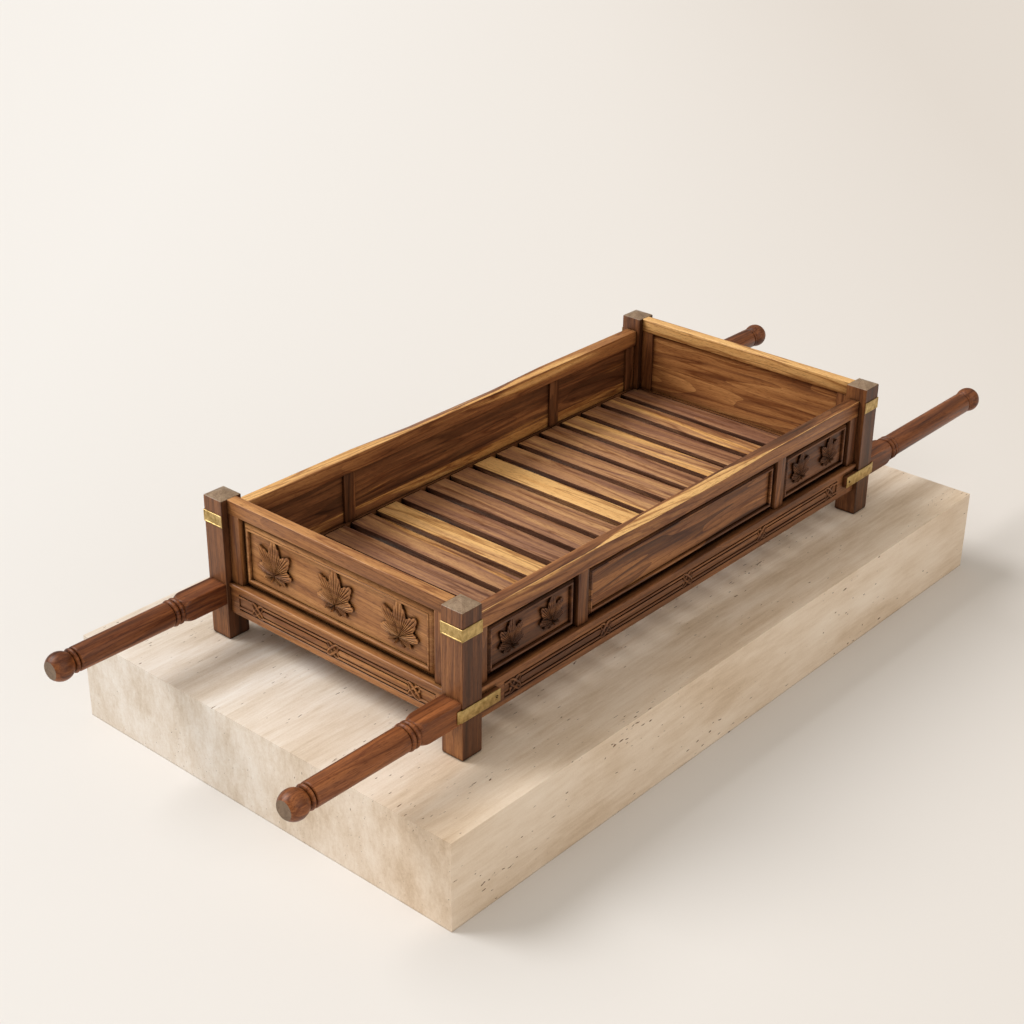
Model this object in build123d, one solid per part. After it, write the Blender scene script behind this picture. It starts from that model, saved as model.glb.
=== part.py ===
from build123d import *
from math import cos, degrees, atan2, hypot, radians, sin
import os

# Funeral bier: an open walnut tray on four square posts, carried by four turned handles,
# standing on a travertine plinth. Millimetres, +Z up, +X from the foot to the head,
# right is -Y. The origin is the middle of the plinth's underside.

# Bier, overall
LENGTH = 2000.0            # over the posts' end faces
WIDTH = 1000.0             # over the posts' side faces
POST = 75.0                # side of a square post
POST_HEIGHT = 450.0        # plinth to the edge of the post's cap
CAP_RISE = 9.0             # low pyramid cut on the post's top
POST_FOOT_CHAMFER = 3.0
FIT = 0.2                  # clearance of a glued joint, each side
OVERCUT = 1.0              # how far a cut runs out past a face

# Plinth
PLINTH_LENGTH = 2602.0
PLINTH_WIDTH = 1476.0
PLINTH_HEIGHT = 278.0
PLINTH_EASE = 4.0          # bevelled edges of the slab
BIER_AHEAD = -28.0         # how far the bier stands from the slab's middle, along X
BIER_ASIDE = -25.0         # and along Y

# Walls between the posts
FRAME_SETBACK = 22.0       # top rails, stiles and muntins behind the posts' faces
END_TOP_RAIL_HEIGHT = 44.0
SIDE_TOP_RAIL_HEIGHT = 53.0
STILE_WIDTH = 45.0
STILE_THICKNESS = 34.0
SIDE_TOP_DROP = 44.0       # side rails lie this far below the end rails' tops
END_RAIL_THICKNESS = 36.0
SIDE_RAIL_THICKNESS = 40.0
RAIL_EASE = 3.0            # rounded upper edges of the top rails
SMALL_PANEL_OPENING = 373.5  # between a side's stile and its muntin
BOTTOM_RAIL_BASE = 88.0    # plinth to the underside of the bottom rails
BOTTOM_RAIL_HEIGHT = 98.0
BOTTOM_RAIL_SETBACK = 10.0
BOTTOM_RAIL_THICKNESS = 50.0
LEDGE_HEIGHT = 12.0        # moulded ledge along the top of a bottom rail
LEDGE_STEP = 4.0           # how far the ledge stands proud of the rail's face
LEDGE_ROUND = 3.0

# Strapwork sunk in the bottom rails' faces: two strands that run along and cross in knots
STRAPWORK_LEVEL = 133.0    # plinth to the middle of the strapwork
SUNK_DEPTH = 4.0
SUNK_HEIGHT = 50.0
SUNK_STOP = 35.0           # plain length left at a rail's ends
STRAND_WIDTH = 7.0
STRAND_SPREAD = 17.0       # middle of the strapwork to the middle of a strand
KNOT_LENGTH = 50.0
KNOT_STRAND_WIDTH = 13.0   # the strands widen where they cross
PAD_HEIGHT = 18.0          # long pads left between the strands, pointed at both ends
PAD_TIP = 17.0             # knot's middle to a pad's point
PAD_POINT = 10.0           # length of a pad's point
END_KNOT_STOP = 79.0       # end of the sunk ground to the middle of an end's last knot
SIDE_KNOT_STOP = 44.0      # the same on a side
END_KNOTS = (-1, 0, 1)
SIDE_KNOTS = (-2, -1, 0, 1, 2)

# Long stopped chamfer on the outer edge of a side's top rail
SCOOP_LENGTH = 880.0
SCOOP_RUNOUT = 240.0
SCOOP_WIDTH = 30.0
SCOOP_DROP = 9.0

# Tenons of the rails in the posts
END_TENON_LENGTH = 15.0
SIDE_TENON_LENGTH = 20.0
TENON_THICKNESS = 20.0
TENON_SHOULDER = 9.0       # above and below a tenon

# Panels in grooves
PANEL_CORE = 12.0
PANEL_RECESS = 14.0        # core's face behind the frame's face
GROOVE_DEPTH = 10.0
PANEL_EXPANSION = 1.0      # room left at the bottom of a groove
MOULDING_MARGIN = 4.0      # frame's inner edge to the moulding
END_MOULDING_WIDTH = 27.0
SIDE_MOULDING_WIDTH = 20.0
MOULDING_HEIGHT = 10.0
MOULDING_CREST = 7.0       # width of the moulding's flat top, inside its slope down to the frame
MOULDING_FALL = 7.0        # height of that slope

# Carved leaves on the panels' fields
END_LEAF_HEIGHT = 140.0
END_LEAF_PITCH = 245.0
SIDE_LEAF_HEIGHT = 100.0
SIDE_LEAF_PITCH = 166.0
LEAF_BASE = 0.31           # field's lower edge to where the veins meet, as part of the leaf's height
LEAF_EDGE = 6.0            # height of a leaf's upright edge
LEAF_CROWN = 4.0           # rise of a lobe from its edge to its ridge
LOBE_CROWN_PLACE = 0.45    # where on a lobe's vein its crown is

# One side of a leaf from its tip down, with each reach as part of the leaf's height
LEAF_LOBES = [
    # tip's angle, tip's reach, angle and reach of the notch below it
    (0, 0.82, 22, 0.54),
    (43, 0.71, 60, 0.47),
    (88, 0.47, 102, 0.34),
    (122, 0.31, 180, 0.09),
]

# Slatted deck
SLAT_COUNT = 17
SLAT_GAP = 26.0
SLAT_THICKNESS = 22.0
SLAT_EASE = 1.5
SLAT_END_CLEARANCE = 3.0
LEDGER_HEIGHT = 26.0
LEDGER_WIDTH = 24.0

# Handles, measured outward from a post's end face along the handle's axis
FOOT_HANDLE_LENGTH = 588.0
HEAD_HANDLE_LENGTH = 760.0
HANDLE_LEVEL = 150.0       # plinth to the handle's axis
BLOCK_SIDE = 68.0
BLOCK_LENGTH = 150.0
BLOCK_SHOULDER = 34.0      # length over which the block's corners run out
SHOULDER_BEND = 0.75       # where along a shoulder its curve has come down by SHOULDER_FALL
SHOULDER_FALL = 0.3
BEAD_DIAMETER = 81.0
BEAD_WIDTH = 17.0
BEAD_EASE = 5.0            # length over which a bead's sides slope down
NECK_DIAMETER = 64.0
BARREL_DIAMETER = 75.0
BARREL_EASE = 7.0
COLLAR_WIDTH = 14.0
BALL_DIAMETER = 84.0
BALL_DISC_DIAMETER = 54.0  # flat turned on the end of the ball
HANDLE_TENON_SIDE = 30.0
HANDLE_TENON_LENGTH = 28.0

# Brass
BAND_TOP = 404.0           # plinth to the upper edge of a corner band
BAND_HEIGHT = 37.0
BAND_THICKNESS = 2.5
STRAP_HEIGHT = 38.0
STRAP_LEVEL = 144.0        # plinth to the middle of a strap
STRAP_ON_RAIL = 70.0
STRAP_ON_HANDLE = 18.0
STRAP_THICKNESS = 3.0
STRAP_JOGGLE = 8.0         # length of the step from the post down to the handle's block

BIER = Pos(BIER_AHEAD, BIER_ASIDE, PLINTH_HEIGHT)
END_SPAN = WIDTH - 2 * POST
SIDE_SPAN = LENGTH - 2 * POST
MUNTIN_OFFSET = SIDE_SPAN / 2 - STILE_WIDTH - SMALL_PANEL_OPENING - STILE_WIDTH / 2
END_KNOT_PITCH = (END_SPAN / 2 - SUNK_STOP - END_KNOT_STOP) / END_KNOTS[-1]
SIDE_KNOT_PITCH = (SIDE_SPAN / 2 - SUNK_STOP - STRAP_ON_RAIL - SIDE_KNOT_STOP) / SIDE_KNOTS[-1]
BOTTOM_RAIL_TOP = BOTTOM_RAIL_BASE + BOTTOM_RAIL_HEIGHT
PANEL_FACE = FRAME_SETBACK + PANEL_RECESS
HANDLE_OFFSET = (WIDTH - POST) / 2
BLOCK_INSET = (POST - BLOCK_SIDE) / 2


def polar(angle, reach):
    """Point at an angle from straight up, clockwise."""
    return reach * sin(radians(angle)), reach * cos(radians(angle))


def span_box(x_range, y_range, z_range):
    """Box between two limits on each axis."""
    (x0, x1), (y0, y1), (z0, z1) = x_range, y_range, z_range
    size = Box(x1 - x0, y1 - y0, z1 - z0)
    return Pos((x0 + x1) / 2, (y0 + y1) / 2, (z0 + z1) / 2) * size


# Each wall is drawn flat: x along the wall, y up from the plinth, z out from the posts' outer faces
WALL_PLANES = {
    "foot": Plane((-LENGTH / 2, 0, 0), x_dir=(0, -1, 0), z_dir=(-1, 0, 0)),
    "head": Plane((LENGTH / 2, 0, 0), x_dir=(0, 1, 0), z_dir=(1, 0, 0)),
    "right": Plane((0, -WIDTH / 2, 0), x_dir=(1, 0, 0), z_dir=(0, -1, 0)),
    "left": Plane((0, WIDTH / 2, 0), x_dir=(-1, 0, 0), z_dir=(0, 1, 0)),
}


def leaf(height):
    """Carved leaf with a ridged lobe on each vein, standing on z = 0 with its veins meeting at the origin."""
    half = []
    for tip_angle, tip, notch_angle, notch in LEAF_LOBES:
        half += [polar(tip_angle, tip * height), polar(notch_angle, notch * height)]
    outline = half + [(-x, y) for x, y in half[-2:0:-1]]
    body = extrude(make_face(Polyline(*outline, close=True)), amount=LEAF_EDGE)
    top = Pos(0, 0, LEAF_EDGE)
    for number in range(0, len(outline), 2):
        tip = outline[number]
        lobe = make_face(Polyline((0, 0), outline[number - 1], tip, outline[number + 1], close=True))
        crown = Vertex(LOBE_CROWN_PLACE * tip[0], LOBE_CROWN_PLACE * tip[1], LEAF_EDGE + LEAF_CROWN)
        body += loft([top * lobe, crown])
    return body


class Wall:
    """Sizes of an end or a side of the tray and the pieces that make it."""

    def __init__(self, span, top, rail_height, rail_thickness, tenon_length, muntins, scooped, knots,
                 moulding_width, leaf_height, leaves):
        self.span = span
        self.top = top
        self.rail_thickness = rail_thickness
        self.tenon_length = tenon_length
        self.muntins = muntins
        self.scooped = scooped
        self.knots = knots
        self.moulding_width = moulding_width
        self.leaf_height = leaf_height
        self.leaves = leaves
        self.rail_base = top - rail_height

    def tenons(self, base, top, back, face, room):
        """Pair of tenons of one rail, grown by the room left around them."""
        middle = (back + face) / 2
        thick = (middle - TENON_THICKNESS / 2 - room, middle + TENON_THICKNESS / 2 + room)
        tall = (base + TENON_SHOULDER - room, top - TENON_SHOULDER + room)
        start = self.span / 2
        end = start + self.tenon_length + room
        return [span_box((start, end), tall, thick), span_box((-end, -start), tall, thick)]

    def top_tenons(self, room):
        face = -FRAME_SETBACK
        return self.tenons(self.rail_base, self.top, face - self.rail_thickness, face, room)

    def bottom_tenons(self, room):
        face = -BOTTOM_RAIL_SETBACK - LEDGE_STEP
        back = -BOTTOM_RAIL_SETBACK - BOTTOM_RAIL_THICKNESS
        return self.tenons(BOTTOM_RAIL_BASE, BOTTOM_RAIL_TOP, back, face, room)

    def groove(self, level_range):
        """Groove for the panels along the whole of a rail."""
        run = (-self.span / 2, self.span / 2)
        return span_box(run, level_range, (-PANEL_FACE - PANEL_CORE - FIT, -PANEL_FACE + FIT))

    def scoop(self):
        """What the stopped chamfer takes off the outer upper edge."""
        half, flat = SCOOP_LENGTH / 2, SCOOP_LENGTH / 2 - SCOOP_RUNOUT
        tip = (-FRAME_SETBACK - SCOOP_WIDTH, -FRAME_SETBACK, self.top, self.top - SCOOP_DROP)
        back, face, high, low = tip
        profile = Polyline((high, back), (high, face), (low, face), close=True)
        middle = [Plane((x, 0, 0), x_dir=(0, 1, 0), z_dir=(1, 0, 0)) for x in (-flat, flat)]
        section = make_face(profile)
        body = extrude(middle[0] * section, amount=2 * flat)
        for plane, x in zip(middle, (-half, half)):
            body += loft([plane * section, Vertex(x, high, face)])
        return body

    def top_rail(self):
        face = -FRAME_SETBACK
        rail = span_box((-self.span / 2, self.span / 2), (self.rail_base, self.top),
                        (face - self.rail_thickness, face))
        upper = rail.faces().sort_by(Axis.Y)[-1].edges().filter_by(Axis.X)
        if self.scooped:
            rail = fillet(upper.sort_by(Axis.Z)[:1], RAIL_EASE) - self.scoop()
        else:
            rail = fillet(upper, RAIL_EASE)
        rail -= self.groove((self.rail_base, self.rail_base + GROOVE_DEPTH))
        return rail + self.top_tenons(0)

    def strapwork(self, face):
        """Sunk ground of a bottom rail's face, round its strands and knots."""
        end = self.span / 2 - SUNK_STOP - (STRAP_ON_RAIL if self.scooped else 0)
        deep = (face - SUNK_DEPTH, face + OVERCUT)
        ground = span_box((-end, end), (STRAPWORK_LEVEL - SUNK_HEIGHT / 2, STRAPWORK_LEVEL + SUNK_HEIGHT / 2), deep)
        stops = [-end, *[knot + side * KNOT_LENGTH / 2 for knot in self.knots for side in (-1, 1)], end]
        for level in (STRAPWORK_LEVEL - STRAND_SPREAD, STRAPWORK_LEVEL + STRAND_SPREAD):
            for run in zip(stops[::2], stops[1::2]):
                ground -= span_box(run, (level - STRAND_WIDTH / 2, level + STRAND_WIDTH / 2), deep)
        slope = degrees(atan2(2 * STRAND_SPREAD, KNOT_LENGTH))
        strand = Box(hypot(2 * STRAND_SPREAD, KNOT_LENGTH), KNOT_STRAND_WIDTH, 2 * (SUNK_DEPTH + OVERCUT))
        for knot in self.knots:
            for angle in (-slope, slope):
                ground -= Pos(knot, STRAPWORK_LEVEL, face) * Rot(0, 0, angle) * strand
        for before, after in zip(self.knots, self.knots[1:]):
            ground -= Pos((before + after) / 2, STRAPWORK_LEVEL, deep[0]) * self.pad(after - before)
        return ground

    def pad(self, pitch):
        """Long pad between two knots, with a point towards each."""
        tip, half = pitch / 2 - PAD_TIP, PAD_HEIGHT / 2
        flank = tip - PAD_POINT
        outline = Polyline((tip, 0), (flank, half), (-flank, half), (-tip, 0), (-flank, -half), (flank, -half),
                           close=True)
        return extrude(make_face(outline), amount=SUNK_DEPTH + OVERCUT)

    def bottom_rail(self):
        run = (-self.span / 2, self.span / 2)
        back = -BOTTOM_RAIL_SETBACK - BOTTOM_RAIL_THICKNESS
        face = -BOTTOM_RAIL_SETBACK - LEDGE_STEP
        ledge = span_box(run, (BOTTOM_RAIL_TOP - LEDGE_HEIGHT, BOTTOM_RAIL_TOP), (back, -BOTTOM_RAIL_SETBACK))
        front = ledge.faces().sort_by(Axis.Z)[-1].edges().filter_by(Axis.X)
        rail = span_box(run, (BOTTOM_RAIL_BASE, BOTTOM_RAIL_TOP), (back, face)) + fillet(front, LEDGE_ROUND)
        rail -= self.groove((BOTTOM_RAIL_TOP - GROOVE_DEPTH, BOTTOM_RAIL_TOP))
        rail -= self.strapwork(face)
        if self.scooped:
            low, high = STRAP_LEVEL - STRAP_HEIGHT / 2, STRAP_LEVEL + STRAP_HEIGHT / 2
            for start in (-self.span / 2, self.span / 2 - STRAP_ON_RAIL):
                rail += span_box((start, start + STRAP_ON_RAIL), (low, high), (back, 0))
        return rail + self.bottom_tenons(0)

    def upright_centres(self):
        edge = (self.span - STILE_WIDTH) / 2
        return [-edge, *self.muntins, edge]

    def stiles(self):
        """Stiles and muntins, tongued into the rails and grooved for the panels."""
        pieces = []
        core = (-PANEL_FACE - PANEL_CORE, -PANEL_FACE)
        tall = (BOTTOM_RAIL_TOP, self.rail_base)
        tongue_tall = (tall[0] - GROOVE_DEPTH + PANEL_EXPANSION, tall[1] + GROOVE_DEPTH - PANEL_EXPANSION)
        centres = self.upright_centres()
        for centre in centres:
            wide = (centre - STILE_WIDTH / 2, centre + STILE_WIDTH / 2)
            piece = span_box(wide, tall, (-FRAME_SETBACK - STILE_THICKNESS, -FRAME_SETBACK))
            piece += span_box(wide, tongue_tall, core)
            for edge, outer in ((wide[0], centre != centres[0]), (wide[1], centre != centres[-1])):
                if outer:
                    groove = (edge - GROOVE_DEPTH, edge + GROOVE_DEPTH)
                    piece -= span_box(groove, tongue_tall, (core[0] - FIT, core[1] + FIT))
            pieces.append(piece)
        return Compound(pieces)

    def panels(self):
        """Grooved-in panels, each with a raised moulding round its field and leaves on it."""
        centres = self.upright_centres()
        carving = leaf(self.leaf_height)
        leaf_level = (BOTTOM_RAIL_TOP + self.rail_base) / 2
        leaf_level += (LEAF_BASE - 0.5) * self.leaf_height
        reach = GROOVE_DEPTH - PANEL_EXPANSION
        pieces = []
        for left, right, leaves in zip(centres, centres[1:], self.leaves):
            opening = (left + STILE_WIDTH / 2, right - STILE_WIDTH / 2)
            low, high = BOTTOM_RAIL_TOP, self.rail_base
            board = span_box((opening[0] - reach, opening[1] + reach), (low - reach, high + reach),
                             (-PANEL_FACE - PANEL_CORE, -PANEL_FACE))
            outline = Plane(((opening[0] + opening[1]) / 2, (low + high) / 2, -PANEL_FACE))
            wide = opening[1] - opening[0] - 2 * MOULDING_MARGIN
            tall = high - low - 2 * MOULDING_MARGIN
            inset = 2 * self.moulding_width
            ring = Rectangle(wide, tall) - Rectangle(wide - inset, tall - inset)
            moulding = extrude(ring, amount=MOULDING_HEIGHT)
            top = moulding.faces().sort_by(Axis.Z)[-1]
            slope = self.moulding_width - MOULDING_CREST
            moulding = chamfer(top.outer_wire().edges(), slope, MOULDING_FALL, reference=top)
            panel = board + outline * moulding
            for place in leaves:
                panel += Pos((opening[0] + opening[1]) / 2 + place, leaf_level, -PANEL_FACE) * carving
            pieces.append(panel)
        return pieces


END = Wall(END_SPAN, POST_HEIGHT, END_TOP_RAIL_HEIGHT, END_RAIL_THICKNESS, END_TENON_LENGTH, (), False,
           [number * END_KNOT_PITCH for number in END_KNOTS], END_MOULDING_WIDTH, END_LEAF_HEIGHT,
           [(-END_LEAF_PITCH, 0, END_LEAF_PITCH)])
SIDE_LEAVES = (-SIDE_LEAF_PITCH / 2, SIDE_LEAF_PITCH / 2)
SIDE = Wall(SIDE_SPAN, POST_HEIGHT - SIDE_TOP_DROP, SIDE_TOP_RAIL_HEIGHT, SIDE_RAIL_THICKNESS,
            SIDE_TENON_LENGTH, (-MUNTIN_OFFSET, MUNTIN_OFFSET), True,
            [number * SIDE_KNOT_PITCH for number in SIDE_KNOTS], SIDE_MOULDING_WIDTH, SIDE_LEAF_HEIGHT,
            [SIDE_LEAVES, (), SIDE_LEAVES])
WALLS = {"foot": END, "head": END, "right": SIDE, "left": SIDE}

CORNERS = [
    # name, sign along X, sign along Y, length of the handle
    ("foot_right", -1, -1, FOOT_HANDLE_LENGTH),
    ("foot_left", -1, 1, FOOT_HANDLE_LENGTH),
    ("head_right", 1, -1, HEAD_HANDLE_LENGTH),
    ("head_left", 1, 1, HEAD_HANDLE_LENGTH),
]


def corner_copy(piece, x_sign, y_sign):
    """The head-left piece set at another corner."""
    if x_sign < 0:
        piece = mirror(piece, about=Plane.YZ)
    if y_sign < 0:
        piece = mirror(piece, about=Plane.XZ)
    return piece


def post():
    """Square post with a low pyramid top, eased feet and the joints' mortises, at the head's left corner."""
    middle = Pos(LENGTH / 2 - POST / 2, WIDTH / 2 - POST / 2, 0)
    shaft = extrude(Rectangle(POST, POST), amount=POST_HEIGHT)
    shaft = chamfer(shaft.faces().sort_by(Axis.Z)[0].edges(), POST_FOOT_CHAMFER)
    cap = loft([Pos(0, 0, POST_HEIGHT) * Rectangle(POST, POST), Vertex(0, 0, POST_HEIGHT + CAP_RISE)])
    body = middle * (shaft + cap)
    for name in ("head", "left"):
        for tenon in WALLS[name].top_tenons(FIT) + WALLS[name].bottom_tenons(FIT):
            body -= WALL_PLANES[name].location * tenon
    half = HANDLE_TENON_SIDE / 2 + FIT
    socket = span_box((LENGTH / 2 - HANDLE_TENON_LENGTH - FIT, LENGTH / 2),
                      (HANDLE_OFFSET - half, HANDLE_OFFSET + half), (HANDLE_LEVEL - half, HANDLE_LEVEL + half))
    return body - socket


def turned_profile(length):
    """Half section of a handle's turned length, from the block's end to the ball's flat."""
    ball = BALL_DIAMETER / 2
    disc = BALL_DISC_DIAMETER / 2
    neck = NECK_DIAMETER / 2
    bead = BEAD_DIAMETER / 2
    barrel = BARREL_DIAMETER / 2
    ball_middle = length - (ball ** 2 - disc ** 2) ** 0.5
    ball_start = ball_middle - (ball ** 2 - neck ** 2) ** 0.5
    bead_two = BLOCK_LENGTH + BEAD_WIDTH
    barrel_start = bead_two + BEAD_WIDTH
    barrel_end = ball_start - COLLAR_WIDTH
    outline = [(0, 0), (0, neck)]
    for at in (BLOCK_LENGTH, bead_two):
        outline += [(at, neck), (at + BEAD_EASE, bead), (at + BEAD_WIDTH - BEAD_EASE, bead)]
    outline += [(barrel_start, neck), (barrel_start + BARREL_EASE, barrel), (barrel_end - BARREL_EASE, barrel),
                (barrel_end, neck), (barrel_end + COLLAR_WIDTH / 2, barrel), (ball_start, neck)]
    edge = Polyline(*outline) + ThreePointArc((ball_start, neck), (ball_middle, ball), (length, disc))
    return make_face(edge + Polyline((length, disc), (length, 0), (0, 0)))


def handle(length):
    """Turned handle with a square block and a stub tenon, at the head's left corner."""
    reach = BLOCK_SIDE * 2 ** 0.5 / 2 + OVERCUT
    neck = NECK_DIAMETER / 2
    run = BLOCK_LENGTH - BLOCK_SHOULDER
    bend = (run + SHOULDER_BEND * BLOCK_SHOULDER, reach - SHOULDER_FALL * (reach - neck))
    tongue = [Line((0, 0), (0, reach)), Line((0, reach), (run, reach)),
              ThreePointArc((run, reach), bend, (BLOCK_LENGTH, neck)),
              Line((BLOCK_LENGTH, neck), (BLOCK_LENGTH, 0)), Line((BLOCK_LENGTH, 0), (0, 0))]
    block = span_box((0, BLOCK_LENGTH), (-BLOCK_SIDE / 2, BLOCK_SIDE / 2), (-BLOCK_SIDE / 2, BLOCK_SIDE / 2))
    block = block & revolve(make_face(Wire(tongue)), Axis.X, 360)
    turned = revolve(turned_profile(length), Axis.X, 360)
    half = HANDLE_TENON_SIDE / 2
    tenon = span_box((-HANDLE_TENON_LENGTH, 0), (-half, half), (-half, half))
    return Pos(LENGTH / 2, HANDLE_OFFSET, HANDLE_LEVEL) * (block + turned + tenon)


def corner_band():
    """Brass band round a post's two outer faces, at the head's left corner."""
    levels = (BAND_TOP - BAND_HEIGHT, BAND_TOP)
    wrap = span_box((LENGTH / 2 - POST, LENGTH / 2 + BAND_THICKNESS),
                    (WIDTH / 2 - POST, WIDTH / 2 + BAND_THICKNESS), levels)
    return wrap - span_box((LENGTH / 2 - POST, LENGTH / 2), (WIDTH / 2 - POST, WIDTH / 2), levels)


def corner_strap():
    """Brass strap over a post, from the side's bottom rail to the handle's block, at the head's left corner."""
    face, end = WIDTH / 2, LENGTH / 2
    low, thick = face - BLOCK_INSET, STRAP_THICKNESS
    step = end + thick
    outline = Polyline(
        (end - POST - STRAP_ON_RAIL, face), (end, face), (end, low), (end + STRAP_ON_HANDLE, low),
        (end + STRAP_ON_HANDLE, low + thick), (step + STRAP_JOGGLE - thick, low + thick), (step, face + thick),
        (end - POST - STRAP_ON_RAIL, face + thick), close=True)
    return Pos(0, 0, STRAP_LEVEL - STRAP_HEIGHT / 2) * extrude(make_face(outline), amount=STRAP_HEIGHT)


def ledger(y_sign):
    """Strip inside a side's bottom rail that carries the slats."""
    rail_back = WIDTH / 2 - BOTTOM_RAIL_SETBACK - BOTTOM_RAIL_THICKNESS
    half = LENGTH / 2 - POST
    top = BOTTOM_RAIL_TOP - SLAT_THICKNESS
    y_range = sorted((y_sign * rail_back, y_sign * (rail_back - LEDGER_WIDTH)))
    return span_box((-half, half), y_range, (top - LEDGER_HEIGHT, top))


def slats():
    """Deck slats from the foot to the head, the outermost notched round the posts."""
    end = LENGTH / 2 - BOTTOM_RAIL_SETBACK - BOTTOM_RAIL_THICKNESS - SLAT_END_CLEARANCE
    half = WIDTH / 2 - BOTTOM_RAIL_SETBACK - BOTTOM_RAIL_THICKNESS - SLAT_END_CLEARANCE
    pitch = (2 * end + SLAT_GAP) / SLAT_COUNT
    notch = (LENGTH / 2 - POST - SLAT_END_CLEARANCE, WIDTH / 2 - POST - SLAT_END_CLEARANCE)
    pieces = []
    for number in range(SLAT_COUNT):
        start = -end + number * pitch
        slat = span_box((start, start + pitch - SLAT_GAP), (-half, half),
                        (BOTTOM_RAIL_TOP - SLAT_THICKNESS, BOTTOM_RAIL_TOP))
        slat = chamfer(slat.faces().sort_by(Axis.Z)[-1].edges().filter_by(Axis.Y), SLAT_EASE)
        for _, x_sign, y_sign, _ in CORNERS:
            slat -= span_box(sorted((x_sign * notch[0], x_sign * LENGTH)), sorted((y_sign * notch[1], y_sign * WIDTH)),
                             (0, POST_HEIGHT))
        pieces.append(slat)
    return pieces


def plinth():
    """Solid slab with eased edges."""
    slab = Pos(0, 0, PLINTH_HEIGHT / 2) * Box(PLINTH_LENGTH, PLINTH_WIDTH, PLINTH_HEIGHT)
    return chamfer(slab.edges().filter_by(Axis.Z) + slab.faces().sort_by(Axis.Z)[-1].edges(), PLINTH_EASE)


def build():
    """All pieces by node name."""
    pieces = {"plinth": plinth()}
    on_bier = {}
    alike = {"post": post(), "corner_band": corner_band(), "corner_strap": corner_strap()}
    for corner, x_sign, y_sign, handle_length in CORNERS:
        for kind, piece in alike.items():
            on_bier[f"{kind}_{corner}"] = corner_copy(piece, x_sign, y_sign)
        on_bier[f"handle_{corner}"] = corner_copy(handle(handle_length), x_sign, y_sign)
    panel_names = {1: ("panel",), 3: ("panel_a", "panel_b", "panel_c")}
    for name, wall in WALLS.items():
        place = WALL_PLANES[name].location
        on_bier[f"{name}_top_rail"] = place * wall.top_rail()
        on_bier[f"{name}_bottom_rail"] = place * wall.bottom_rail()
        on_bier[f"{name}_stiles"] = place * wall.stiles()
        panels = wall.panels()
        for label, panel in zip(panel_names[len(panels)], panels):
            on_bier[f"{name}_{label}"] = place * panel
    on_bier["slat_ledger_right"] = ledger(-1)
    on_bier["slat_ledger_left"] = ledger(1)
    for number, slat in enumerate(slats(), 1):
        on_bier[f"slat_{number:02d}"] = slat
    pieces.update({name: BIER * piece for name, piece in on_bier.items()})
    return pieces


os.makedirs("parts", exist_ok=True)
for node, solid in build().items():
    export_step(solid, os.path.join("parts", f"{node}.step"))
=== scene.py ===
"""Looks of a walnut funeral bier on a travertine plinth, dressed over its CAD frame."""

import logging
import math
from dataclasses import dataclass, field, replace
from enum import Enum
from typing import Iterable, Sequence

import bmesh
import bpy
from mathutils import Euler, Matrix, Vector


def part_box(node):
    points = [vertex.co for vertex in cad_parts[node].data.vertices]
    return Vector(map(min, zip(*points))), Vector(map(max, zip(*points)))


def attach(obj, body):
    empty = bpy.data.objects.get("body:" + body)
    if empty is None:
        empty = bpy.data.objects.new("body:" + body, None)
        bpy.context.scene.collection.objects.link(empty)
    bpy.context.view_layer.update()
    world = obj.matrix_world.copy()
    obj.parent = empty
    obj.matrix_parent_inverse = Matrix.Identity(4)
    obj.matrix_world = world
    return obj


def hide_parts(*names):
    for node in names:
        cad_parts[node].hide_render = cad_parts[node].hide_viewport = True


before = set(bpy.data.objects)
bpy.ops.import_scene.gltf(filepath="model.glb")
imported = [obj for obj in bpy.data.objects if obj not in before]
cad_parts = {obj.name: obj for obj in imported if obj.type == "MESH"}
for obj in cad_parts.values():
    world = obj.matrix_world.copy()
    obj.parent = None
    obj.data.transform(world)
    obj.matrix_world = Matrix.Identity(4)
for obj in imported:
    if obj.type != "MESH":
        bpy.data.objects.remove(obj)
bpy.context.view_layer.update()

LOG = logging.getLogger("bier")
Point = tuple[float, float]
Size = tuple[float, float, float]
# the tray's corners, with the signs of their places along X and Y
CORNERS = {"foot_right": (-1, -1), "foot_left": (-1, 1), "head_right": (1, -1), "head_left": (1, 1)}
# a face looks along an axis where more than this share of its normal does
FACING = 0.7


def mm(value: float) -> float:
    """Millimetres in Blender's metres."""
    return value / 1000


def linear(hex_colour: str) -> tuple[float, float, float, float]:
    """Turns an sRGB hex value into a linear colour.

    Args:
        hex_colour: six hex digits, with a leading #.

    Returns:
        Linear red, green, blue and an alpha of 1.
    """
    channels = [int(hex_colour[at:at + 2], 16) / 255 for at in (1, 3, 5)]
    return (*[c / 12.92 if c <= 0.04045 else ((c + 0.055) / 1.055) ** 2.4 for c in channels], 1.0)


def add(tree: bpy.types.NodeTree, kind: str, inputs: dict[str | int, object] | None = None,
        stops: Sequence[tuple[float, str]] = (), **settings: object) -> bpy.types.Node:
    """Adds a node with its settings and links.

    Args:
        tree: node tree that gets the node.
        kind: node type.
        inputs: values or output sockets by input name or number.
        stops: places and sRGB colours of a colour ramp.
        settings: the node's own properties.

    Returns:
        The new node.
    """
    node = tree.nodes.new(kind)
    for name, value in settings.items():
        setattr(node, name, value)
    for name, value in (inputs or {}).items():
        if isinstance(value, bpy.types.NodeSocket):
            tree.links.new(value, node.inputs[name])
        else:
            node.inputs[name].default_value = value
    if stops:
        elements = node.color_ramp.elements
        while len(elements) < len(stops):
            elements.new(1.0)
        for element, (place, colour) in zip(elements, stops):
            element.position = place
            element.color = linear(colour)
    return node


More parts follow.
